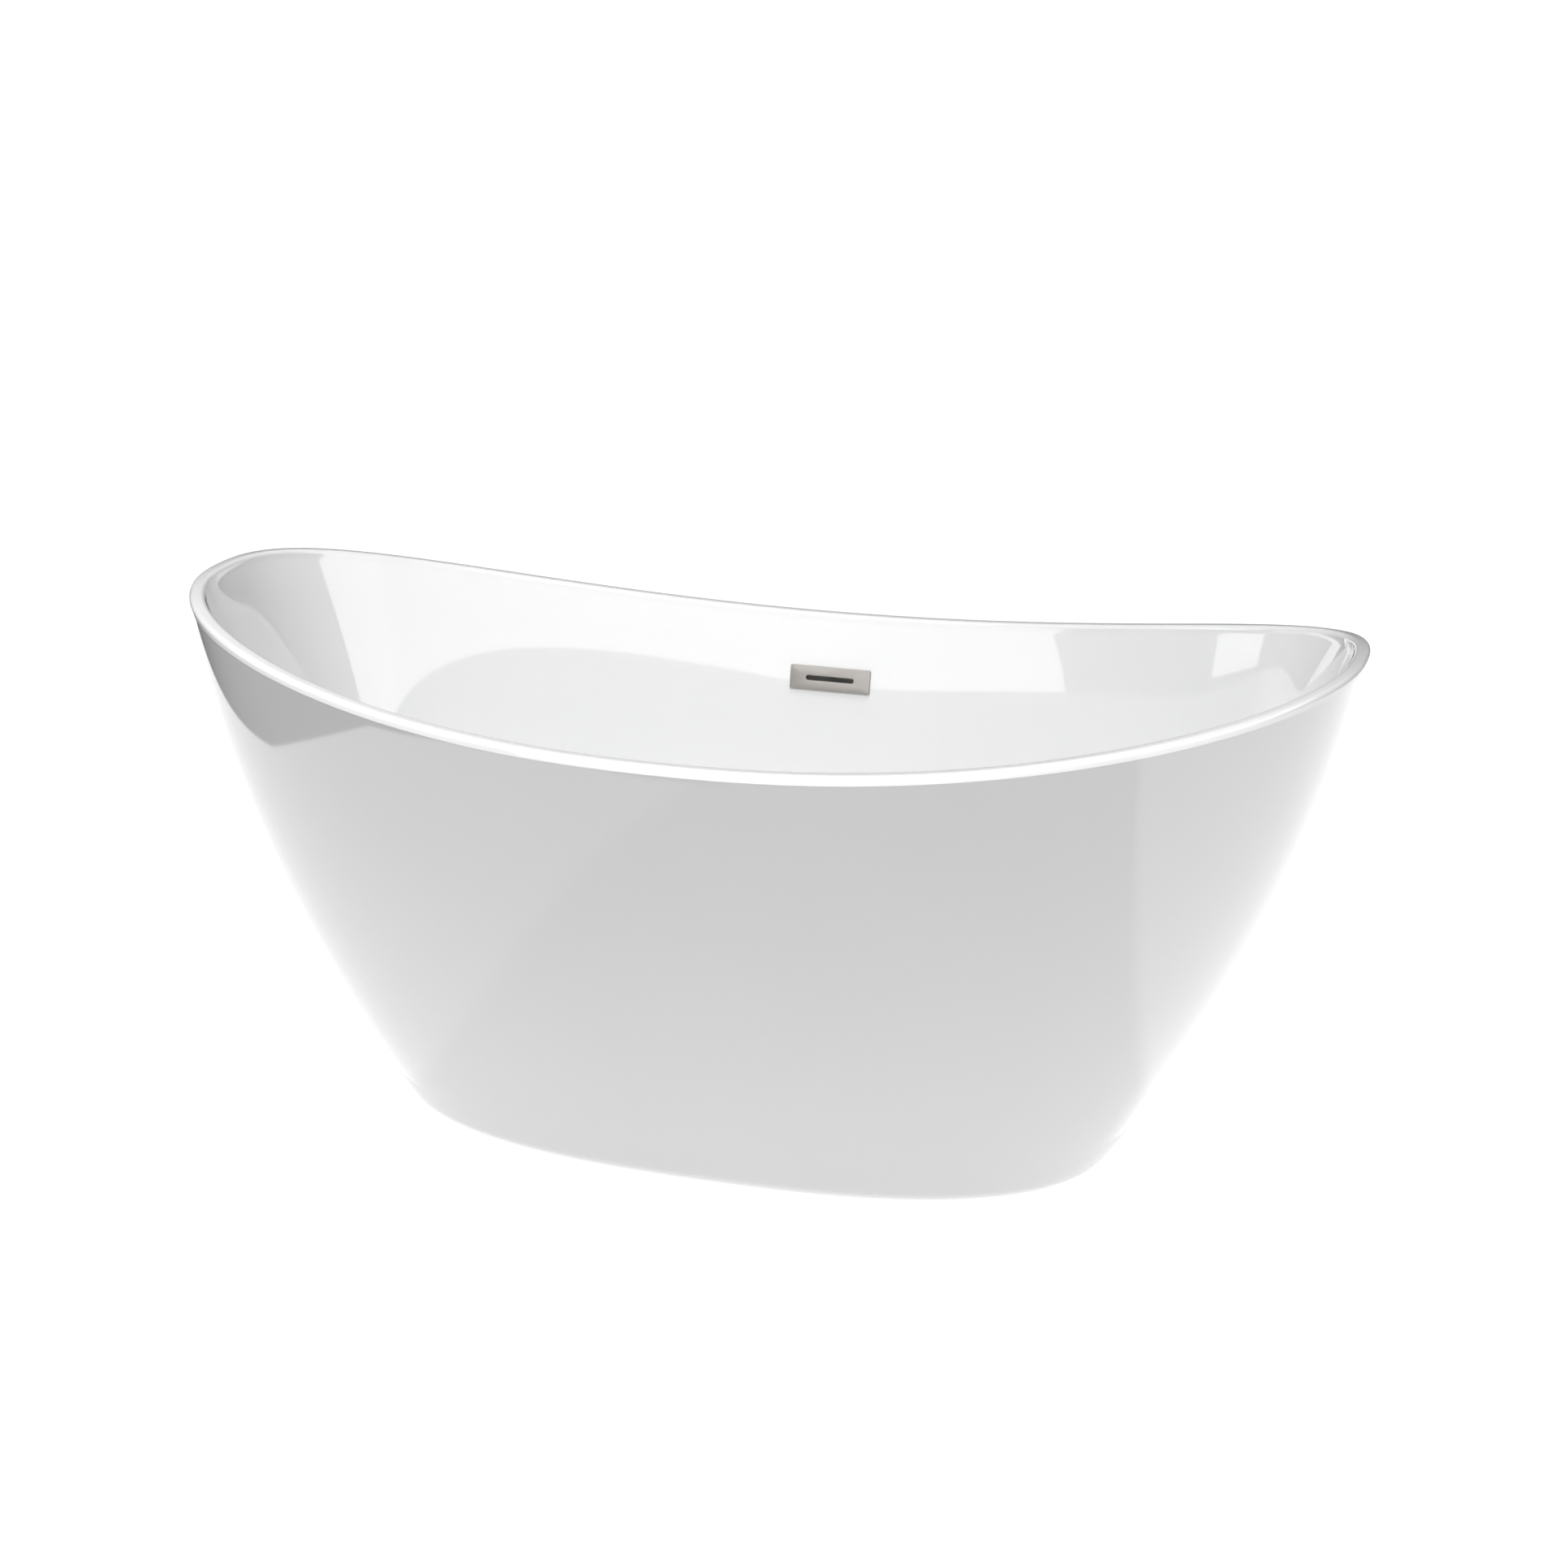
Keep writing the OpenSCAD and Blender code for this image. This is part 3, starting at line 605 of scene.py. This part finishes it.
# ---- shells ---------------------------------------------------------------

def basin():
    """The basin: up from the drain over the floor, wall and rim, and back down behind them."""
    floor_steps = np.linspace(0, 1, FLOOR_ROWS + 1)
    wall_steps = np.linspace(0, 1, WALL_ROWS + 1)[1:]
    lip_end = rim_z(TURN) - LIP_DROP
    front = [hole_ring(FLOOR_HEIGHT)]
    front += [floor_ring(k, FLOOR_HEIGHT + FLOOR_FALL * k) for k in floor_steps]
    front += [basin_point(TURN, s) for s in wall_steps]
    front += [
        rim_point(TURN, RIM_WIDTH - RIM_EDGE * u, RIM_EDGE * v)
        for u, v in quarter(EDGE_ROWS, 1)
    ]
    front += [
        skirt_point(TURN, rim_z(TURN) - RIM_EDGE * u, RIM_EDGE * v)
        for u, v in quarter(EDGE_ROWS)
    ]
    front.append(skirt_point(TURN, lip_end, 0))
    behind = [
        skirt_point(TURN, lip_end, LIP_WALL),
        rim_point(TURN, RIM_EDGE, RIM_UNDER),
        rim_point(TURN, RIM_WIDTH - RIM_ROOT, RIM_UNDER),
    ]
    behind += [basin_outside(TURN, s) for s in wall_steps[::-1]]
    behind += [floor_ring(k, FLOOR_UNDER) for k in floor_steps[::-1]]
    behind.append(hole_ring(FLOOR_UNDER))
    # The last strip is the wall of the drain hole
    finish = [FACE] * (len(front) - 1) + [BACK] * len(behind) + [FACE]
    mesh = ring_mesh("basin_shell", front + behind, finish)
    cut_slot(put("basin_shell", mesh, "tub", "basin", "acrylic", "fibreglass"))


def stadium(length, height, count):
    """Points round a slot with half-round ends, evenly in angle about its ends."""
    straight, r = (length - height) / 2, height / 2
    turn = [2 * math.pi * (i + 0.5) / count for i in range(count)]
    return [
        (math.copysign(straight, math.cos(q)) + r * math.cos(q), r * math.sin(q)) for q in turn
    ]


def level(outline, z):
    """A flat outline as a ring of points at height z."""
    return np.array([(x, y, z) for x, y in outline])


def cut_slot(shell):
    """Cuts the overflow hole through the basin's wall."""
    rings = [level(stadium(*HOLE, PLATE_POINTS), z) for z in (-CUT_DEPTH, CUT_DEPTH)]
    mesh = ring_mesh("cutter", rings, closed=False, capped=True)
    mesh.transform(OVERFLOW)
    cutter = bpy.data.objects.new("cutter", mesh)
    bpy.context.scene.collection.objects.link(cutter)
    boolean = shell.modifiers.new("cut", "BOOLEAN")
    boolean.operation = "DIFFERENCE"
    boolean.solver = "EXACT"
    boolean.object = cutter
    bpy.context.view_layer.update()
    depsgraph = bpy.context.evaluated_depsgraph_get()
    cut = bpy.data.meshes.new_from_object(shell.evaluated_get(depsgraph))
    shell.modifiers.remove(boolean)
    shell.data = smooth(cut)
    bpy.data.objects.remove(cutter)


def skirt():
    """The skirt: down its face, under its rolled bottom edge, and back up inside."""
    top = rim_z(TURN) - LIP_DROP - SEAM
    low = SKIRT_GAP + SKIRT_ROLL
    steps = np.linspace(0, 1, SKIRT_ROWS + 1)
    bend = SKIRT_ROLL - SKIRT_WALL
    roll = quarter(EDGE_ROWS, 1)
    outer = [skirt_point(TURN, top + (low - top) * k, 0) for k in steps]
    outer += [skirt_point(TURN, SKIRT_GAP + SKIRT_ROLL * v, SKIRT_ROLL * u) for u, v in roll]
    inner = [
        skirt_point(TURN, SKIRT_GAP + SKIRT_WALL + bend * v, SKIRT_WALL + bend * u)
        for u, v in reversed(roll)
    ]
    inner += [skirt_point(TURN, top + (low - top) * k, SKIRT_WALL) for k in steps[::-1]]
    mesh = ring_mesh("skirt_shell", outer + inner, [FACE] * len(outer) + [BACK] * len(inner))
    put("skirt_shell", mesh, "tub", "skirt", "acrylic", "fibreglass")


# ---- overflow -------------------------------------------------------------

def rounded_outline(length, height, corner, count):
    """Points round a rectangle with rounded corners, as many to each corner."""
    points = []
    each = count // 4
    for number, (sx, sy) in enumerate(((1, 1), (-1, 1), (-1, -1), (1, -1))):
        for i in range(each):
            q = math.pi / 2 * (number + i / (each - 1))
            points.append((
                sx * (length / 2 - corner) + corner * math.cos(q),
                sy * (height / 2 - corner) + corner * math.sin(q),
            ))
    return points


def overflow_plate():
    """The cover plate: rounded edges, and a slot whose lip is eased inwards."""
    length, height, thick = PLATE
    slot_length, slot_height = SLOT
    front = PLATE_GAP + thick

    def outer(inset, z):
        corner = max(PLATE_CORNER - inset, LEAST_CORNER)
        size = length - 2 * inset, height - 2 * inset
        return level(rounded_outline(*size, corner, PLATE_POINTS), z)

    def inner(grow, z):
        return level(stadium(slot_length + 2 * grow, slot_height + 2 * grow, PLATE_POINTS), z)

    edge = quarter(PLATE_ROWS)
    rings = [outer(0, PLATE_GAP)]
    rings += [outer(PLATE_EDGE * u, front - PLATE_EDGE * v) for u, v in edge]
    rings += [inner(SLOT_EDGE * (1 - u), front - SLOT_EDGE * (1 - v)) for u, v in reversed(edge)]
    rings.append(inner(0, PLATE_GAP))
    mesh = ring_mesh("plate", rings)
    mesh.transform(OVERFLOW)
    put("overflow_cover", smooth(mesh, 25), "tub", "overflow_plate", "brushed_nickel")


def curve_through(points, steps):
    """Points along the smooth curve through the path, as the CAD draws it."""
    p = [points[0]] + list(points) + [points[-1]]
    line = []
    for i in range(1, len(p) - 2):
        a, b, c, d = (np.array(q, float) for q in p[i - 1:i + 3])
        for k in range(steps):
            u = k / steps
            line.append(0.5 * (
                2 * b + (c - a) * u + (2 * a - 5 * b + 4 * c - d) * u ** 2
                + (3 * b - a - 3 * c + d) * u ** 3
            ))
    line.append(np.array(points[-1], float))
    return np.array(line) * MM


def overflow_hose():
    """A corrugated hose with a plain cuff at each end, hollow all through."""
    line = curve_through(HOSE_PATH, HOSE_STEPS)
    lengths = np.concatenate([[0], np.cumsum(np.linalg.norm(np.diff(line, axis=0), axis=1))])
    total = lengths[-1]
    spacing = HOSE_PITCH / HOSE_ROWS
    stations = np.arange(0, total, spacing)
    stations = np.append(stations[stations < total - spacing / 2], total)
    centres = np.stack([np.interp(stations, lengths, line[:, i]) for i in range(3)], -1)
    ahead = unit(np.gradient(centres, axis=0))
    side = np.array((1.0, 0, 0))
    turn = np.linspace(0, 2 * math.pi, HOSE_SIDES, endpoint=False)[:, None]
    outer, bore = [], []
    for s, centre, t in zip(stations, centres, ahead):
        up = np.cross(t, side)
        ring = np.cos(turn) * side + np.sin(turn) * up
        ribbed = HOSE_CUFF < s < total - HOSE_CUFF
        wave = 0.5 - 0.5 * math.cos(2 * math.pi * (s - HOSE_CUFF) / HOSE_PITCH) if ribbed else 0
        outer.append(centre + (HOSE_R - HOSE_GROOVE * wave) * ring)
        bore.append(centre + HOSE_BORE * ring)
    mesh = ring_mesh("hose", outer + bore[::-1])
    put("overflow_hose_ribbed", smooth(mesh, 60), "tub", "overflow_hose", "hose")


# ---- plug -----------------------------------------------------------------

def plug_cap():
    """The push plug's cap, a flat dome with rounded edges."""
    outline = [(0, CAP_LOW), (CAP_FOOT[0], CAP_LOW)]
    outline += arc(CAP_FOOT, CAP_FOOT_R, -90, 0, CAP_FOOT_ROWS)[1:]
    outline += arc(CAP_EDGE, CAP_EDGE_R, 0, CAP_EDGE_END, CAP_EDGE_ROWS)
    for i in range(1, CAP_DOME_ROWS):
        k = i / CAP_DOME_ROWS
        rise = CAP_DOME_RISE * (math.sin(math.pi / 2 * k) - 1)
        outline.append((CAP_DOME_R * (1 - k), CAP_HIGH + rise))
    outline.append((0, CAP_HIGH))
    mesh = lathe("plug_cap", outline, CAP_SIDES)
    put("plug_cap_domed", mesh, "plug", "plug_cap", "brushed_nickel")


# ---- feet -----------------------------------------------------------------

def foot_stud(number):
    """A levelling stud with its rolled thread, plain foot and hexagon collar."""
    name = f"foot_stud_{number}"
    low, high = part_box(name)
    x, y = (low[0] + high[0]) / 2, (low[1] + high[1]) / 2
    bottom, top = low[2], high[2]
    start = bottom + STUD_PLAIN
    rows = int((top - start) / THREAD_PITCH * THREAD_ROWS)
    turn = np.linspace(0, 2 * math.pi, STUD_SIDES, endpoint=False)

    def ring(z, r):
        return at_height((x, y) + circle(turn, np.broadcast_to(r, turn.shape)[:, None]), z)

    rings = [
        ring(bottom, STUD_R - STUD_FOOT_EDGE),
        ring(bottom + STUD_FOOT_EDGE, STUD_R),
        ring(start, STUD_R),
    ]
    for i in range(1, rows + 1):
        z = start + (top - start) * i / rows
        fade = min(1, i / THREAD_ROWS, (rows - i) / THREAD_ROWS + 0.5)
        phase = (z / THREAD_PITCH - turn / (2 * math.pi)) % 1
        groove = THREAD_DEPTH * fade * (1 - np.abs(2 * phase - 1))
        rings.append(ring(z if i < rows else top - STUD_TOP_EDGE, STUD_R - groove))
    rings.append(ring(top, STUD_R - THREAD_DEPTH - STUD_TOP_EDGE))
    mesh = ring_mesh(name, rings, closed=False, capped=True)
    join_meshes(mesh, hexagon(x, y, bottom + COLLAR_LIFT, COLLAR_FLATS, COLLAR_THICK))
    put(f"levelling_stud_{number}", smooth(mesh, 50), f"stud_{number}", name, "zinc")


def hexagon(x, y, z, flats, thick):
    """A hexagon with its corners chamfered top and bottom, as on a nut."""
    sixth = math.pi / 3
    turn = np.linspace(0, 2 * math.pi, HEX_SIDES, endpoint=False)
    reach = (flats / 2) / np.cos((turn + sixth / 2) % sixth - sixth / 2)
    rings = []
    # Each height as a share of the thickness, with the most that a corner reaches there
    for height, limit in ((0, 0.47), (0.12, 0.52), (0.88, 0.6), (1, 0.47)):
        r = np.minimum(reach, limit * flats)[:, None]
        rings.append(at_height((x, y) + circle(turn, r), z + thick * height))
    return ring_mesh("hexagon", rings, closed=False, capped=True)


def join_meshes(mesh, other):
    bm = bmesh.new()
    bm.from_mesh(mesh)
    bm.from_mesh(other)
    bm.to_mesh(mesh)
    bm.free()
    bpy.data.meshes.remove(other)


# ---- plain CAD parts with eased edges -------------------------------------

# How much each one's edges are rounded, in millimetres
EASED = {
    "rail_front": 1.0, "rail_rear": 1.0, "cross_bar_left": 1.0, "cross_bar_right": 1.0,
    "skirt_brackets": 0.6, "base_board": 0.8, "tube_end_caps": 0.6, "board_screws": 0.3,
    "bracket_screws": 0.4, "foot_weld_nuts": 0.5, "foot_lock_nuts": 0.5,
    "drain_lock_nut": 0.6, "tailpiece_nut": 0.6, "waste_tee": 0.6, "tailpiece": 0.3,
    "overflow_body": 0.5, "drain_flange": 0.25, "drain_crossbar": 0.2, "hose_clamps": 0.2,
    "overflow_clips": 0.15,
}
FLAT_ANGLE = math.radians(0.5)
HARD_ANGLE = math.radians(30)


def eased(node, body, width):
    """A CAD node's own shape with its hard edges rounded, standing for that node."""
    bm = bmesh.new()
    bm.from_mesh(frame["nodes"][node].data)
    bmesh.ops.remove_doubles(bm, verts=bm.verts, dist=MERGE)
    bmesh.ops.dissolve_limit(bm, angle_limit=FLAT_ANGLE, verts=bm.verts, edges=bm.edges)
    hard = [e for e in bm.edges if len(e.link_faces) == 2 and e.calc_face_angle(0) > HARD_ANGLE]
    bmesh.ops.bevel(
        bm, geom=hard, offset=width * MM, offset_type="OFFSET", segments=2,
        profile=0.5, affect="EDGES", clamp_overlap=True, loop_slide=True,
    )
    bmesh.ops.remove_doubles(bm, verts=bm.verts, dist=MERGE)
    bmesh.ops.triangulate(bm, faces=[f for f in bm.faces if len(f.verts) > 4])
    mesh = bpy.data.meshes.new(node + "_eased")
    bm.to_mesh(mesh)
    bm.free()
    put(node + "_eased", smooth(mesh, 40), body, node, SLOT_OF[node])


def dress_cad_nodes():
    """Every CAD node gets its procedural finish."""
    for node, obj in frame["nodes"].items():
        obj.data.materials.clear()
        obj.data.materials.append(MATERIALS[SLOT_OF[node]])


basin()
skirt()
overflow_plate()
overflow_hose()
plug_cap()
for number in FEET:
    foot_stud(number)
for node, width in EASED.items():
    eased(node, "tub", width)
dress_cad_nodes()


# ---- floor, light and camera ----------------------------------------------

FLOOR_RADIUS = 60
FLOOR_DROP = 0.2 * MM
FLOOR_GLOW = 0.84
BACKDROP_RADIUS = 59
BACKDROP_LOW = -0.5
BACKDROP_HIGH = 60

# A card just over the floor that glows only in reflections: a painted reflection of the bright
# floor, with a hole under the tub
LIT_RADIUS = 12
LIT_HOLE_LENGTH = BASE_LENGTH * 1.1
LIT_HOLE_WIDTH = BASE_WIDTH * 1.02

# Edges of the glow and of the painted shade on that card. Each is an X weight, a Y weight, a
# position and half the width
# of its step: what is past the edge is where X and Y by their weights add up to more than the
# position.
# Painted shadow of the tub: between these two edges, in front, the card's glow is made weaker
PAST_SHADE_LEFT = (1, 0, -0.5, 0.03)
BEFORE_SHADE_RIGHT = (-1, -0.571, -0.657, 0.04)
IN_FRONT = (0, -1, 0.0, 0.1)
# Painted shade: left of this edge the reflected floor's glow is painted dimmer, by the share below
DIM_AT_LEFT = (-1, 0, 0.5, 0.03)
DIMMING = 0.19
PAST_LEFT_END = (1, 0, -1.77, 0.02)
PAST_SLANTED_END = (1, 0.38, -1.90, 0.02)
BEHIND_FRONT_END = (0, 1, -2.0, 0.05)
RIGHT_OF_FRONT_END = (1, 0, -0.6, 0.3)
PAST_CORNER = (1, 1, -3.18, 0.03)

# Corners and strengths of the cards that the gloss reflects
FRONT_PANEL = [(-1.27, -2.2, 0), (2.2, -2.2, 0), (2.2, -2.2, 3), (-1.27, -2.2, 3)]
FRONT_PANEL_GLOW = 1.55
RIGHT_PANEL = [(2.2, -2.2, 0), (2.2, -1.45, 0), (2.2, 0.9, 3), (2.2, -2.2, 3)]
RIGHT_PANEL_GLOW = 1.8
LEFT_PANEL = [(-2.2, -0.5, 0.85), (-2.2, -1.3, 0.85), (-2.2, -1.3, 3), (-2.2, -0.5, 3)]
LEFT_PANEL_GLOW = 1.5

# Camera: angles in degrees, lens in millimetres
AZIMUTH = 17.42
ELEVATION = 18.52
DISTANCE = 3.809
TARGET = (0.0358, 0, 0.4814)
LENS = 64.9
SENSOR = 36
CLIP_END = 200


def stage_object(name, mesh, material):
    mesh.materials.append(material)
    obj = bpy.data.objects.new(name, mesh)
    bpy.context.scene.collection.objects.link(obj)
    return obj


def floor():
    """A plain pale floor that glows a little, as a light table does."""
    mesh = bpy.data.meshes.new("floor")
    bm = bmesh.new()
    below = Matrix.Translation((0, 0, -FLOOR_DROP))
    bmesh.ops.create_circle(bm, cap_ends=True, segments=96, radius=FLOOR_RADIUS, matrix=below)
    bm.to_mesh(mesh)
    bm.free()
    f = Finish(
        "floor", Roughness=1.0, Specular_IOR_Level=0.0,
        Emission_Color=(1, 1, 1, 1), Emission_Strength=FLOOR_GLOW,
    )
    f.colour(f.ramp(f.noise(0.7, detail=3), (0.3, 0.37), (0.7, 0.39)))
    stage_object("floor", mesh, f.material)


class Glow(Nodes):
    """A material that only gives light, evenly unless its strength is linked."""

    def __init__(self, name, strength):
        super().__init__(name)
        self.tree.nodes.remove(self.tree.nodes["Principled BSDF"])
        self.lamp = self.node("Emission", Strength=strength)
        surface = self.tree.nodes["Material Output"].inputs["Surface"]
        self.link(self.lamp.outputs["Emission"], surface)

    def beyond(self, x_weight, y_weight, edge, soft):
        """1 past an edge on the floor and 0 before it, with a soft step between."""
        x, y = self.parts(self.place)["X"], self.parts(self.place)["Y"]
        along = self.math("MULTIPLY_ADD", x, x_weight, self.math("MULTIPLY", y, y_weight))
        span = self.node(
            "MapRange", {"Value": along}, interpolation_type="SMOOTHSTEP",
            **{"From Min": edge - soft, "From Max": edge + soft},
        )
        return span.outputs["Result"]

    def both(self, one, two):
        return self.math("MULTIPLY", one, two)

    def either(self, one, two):
        return self.math("MAXIMUM", one, two)


def reflected(obj):
    """Makes a card show only in reflections."""
    obj.visible_camera = False
    obj.visible_diffuse = False
    obj.visible_shadow = False
    obj.visible_transmission = False
    obj.visible_volume_scatter = False


def lit_floor(strength, shade):
    """A painted reflection of the bright studio floor, on a card that glows and is seen only in
    reflections.

    It has the tub's shadow painted on in front, is painted dimmer at the left, and ends at the left
    and in front.
    """
    inner = at_height(oval(TURN, LIT_HOLE_LENGTH, LIT_HOLE_WIDTH, BASE_POWER), MM)
    outer = at_height(circle(TURN, LIT_RADIUS), MM)
    # The card's glow is the painted reflection of the floor; it lights nothing that the camera sees
    # directly
    glow = Glow("lit_floor", strength)
    # Painted shade: the tub's shadow in front, drawn as weaker glow
    shaded = glow.both(glow.beyond(*PAST_SHADE_LEFT), glow.beyond(*BEFORE_SHADE_RIGHT))
    shaded = glow.both(shaded, glow.beyond(*IN_FRONT))
    light = glow.math("MULTIPLY_ADD", shaded, -shade, 1.0)
    # Painted shade: the glow is made dimmer at the left
    light = glow.math("MULTIPLY_ADD", glow.beyond(*DIM_AT_LEFT), -DIMMING, light)
    inside = glow.either(glow.beyond(*PAST_LEFT_END), glow.beyond(*PAST_SLANTED_END))
    front = glow.either(glow.beyond(*BEHIND_FRONT_END), glow.beyond(*RIGHT_OF_FRONT_END))
    front = glow.both(front, glow.beyond(*PAST_CORNER))
    kept = glow.both(glow.both(light, inside), front)
    glow.link(glow.math("MULTIPLY", kept, strength), glow.lamp.inputs["Strength"])
    mesh = ring_mesh("lit_floor", [inner, outer], closed=False)
    reflected(stage_object("lit_floor", mesh, glow.material))


def card(name, corners, strength):
    """A flat glowing card between four corners, seen only in reflections."""
    mesh = bpy.data.meshes.new(name)
    mesh.from_pydata(corners, [], [(0, 1, 2, 3)])
    reflected(stage_object(name, mesh, Glow(name, strength).material))


def sky(horizon, zenith):
    """Soft white light from all round, brighter overhead."""
    world = bpy.data.worlds.new("studio")
    bpy.context.scene.world = world
    world.use_nodes = True
    tree = world.node_tree
    place = tree.nodes.new("ShaderNodeTexCoord").outputs["Generated"]
    split = tree.nodes.new("ShaderNodeSeparateXYZ")
    tree.links.new(place, split.inputs["Vector"])
    ramp = tree.nodes.new("ShaderNodeValToRGB")
    tree.links.new(split.outputs["Z"], ramp.inputs["Fac"])
    for element, grey in zip(ramp.color_ramp.elements, (horizon, zenith)):
        element.color = (grey, grey, grey, 1)
    tree.links.new(ramp.outputs["Color"], tree.nodes["Background"].inputs["Color"])


def lamp(name, kind, power):
    data = bpy.data.lights.new(name, kind)
    data.energy = power
    obj = bpy.data.objects.new(name, data)
    bpy.context.scene.collection.objects.link(obj)
    return obj


def softbox(name, place, aim, size, power, spread=180):
    """A rectangular soft light at place, turned to face aim, its beam spread degrees wide."""
    obj = lamp(name, "AREA", power)
    obj.data.shape = "RECTANGLE"
    obj.data.size, obj.data.size_y = size
    obj.data.spread = math.radians(spread)
    obj.location = place
    obj.rotation_euler = (Vector(aim) - Vector(place)).to_track_quat("-Z", "Y").to_euler()
    obj.visible_camera = False
    return obj


def daylight(strength, spread):
    """Even soft light straight down over the whole floor, from a patch spread degrees wide."""
    obj = lamp("daylight", "SUN", strength)
    obj.data.angle = math.radians(spread)
    obj.visible_glossy = False


def shine_on(light, names):
    """Keeps a light to the named pieces, as flags do in a studio."""
    group = bpy.data.collections.new(light.name + "_lights")
    for name in names:
        group.objects.link(bpy.data.objects[name])
    light.light_linking.receiver_collection = group


def backdrop():
    """A far white wall all round, which only the camera sees."""
    wall = circle(TURN, BACKDROP_RADIUS)
    rings = [at_height(wall, BACKDROP_LOW), at_height(wall, BACKDROP_HIGH)]
    mesh = ring_mesh("backdrop", rings, closed=False)
    obj = stage_object("backdrop", mesh, Glow("backdrop", 1.0).material)
    obj.visible_diffuse = False
    obj.visible_glossy = False
    obj.visible_shadow = False


def camera():
    """The camera at the photograph's viewing angle."""
    data = bpy.data.cameras.new("camera")
    data.lens = LENS
    data.sensor_width = SENSOR
    data.clip_end = CLIP_END
    obj = bpy.data.objects.new("camera", data)
    bpy.context.scene.collection.objects.link(obj)
    azimuth, elevation = math.radians(AZIMUTH), math.radians(ELEVATION)
    back = Vector((
        math.sin(azimuth) * math.cos(elevation),
        -math.cos(azimuth) * math.cos(elevation),
        math.sin(elevation),
    ))
    obj.location = Vector(TARGET) + back * DISTANCE
    obj.rotation_euler = (-back).to_track_quat("-Z", "Y").to_euler()
    bpy.context.scene.camera = obj


floor()
lit_floor(strength=1.5, shade=0.30)
card("front_panel", FRONT_PANEL, FRONT_PANEL_GLOW)
card("right_panel", RIGHT_PANEL, RIGHT_PANEL_GLOW)
card("left_panel", LEFT_PANEL, LEFT_PANEL_GLOW)
sky(horizon=0.14, zenith=0.26)
daylight(strength=1.2, spread=40)
softbox(
    "overhead", place=(-0.3, -0.3, 2.6), aim=(-0.15, 0.05, 0.4), size=(1.3, 0.6),
    power=1.5, spread=55,
)
key = softbox(
    "key", place=(-0.3, -2.5, 2.7), aim=(0, 0.2, 0.5), size=(2.4, 1.2), power=84,
)
key.visible_glossy = False
shine_on(key, ["basin_shell", "overflow_cover"])
backdrop()
camera()
bpy.context.scene.view_settings.view_transform = "Standard"
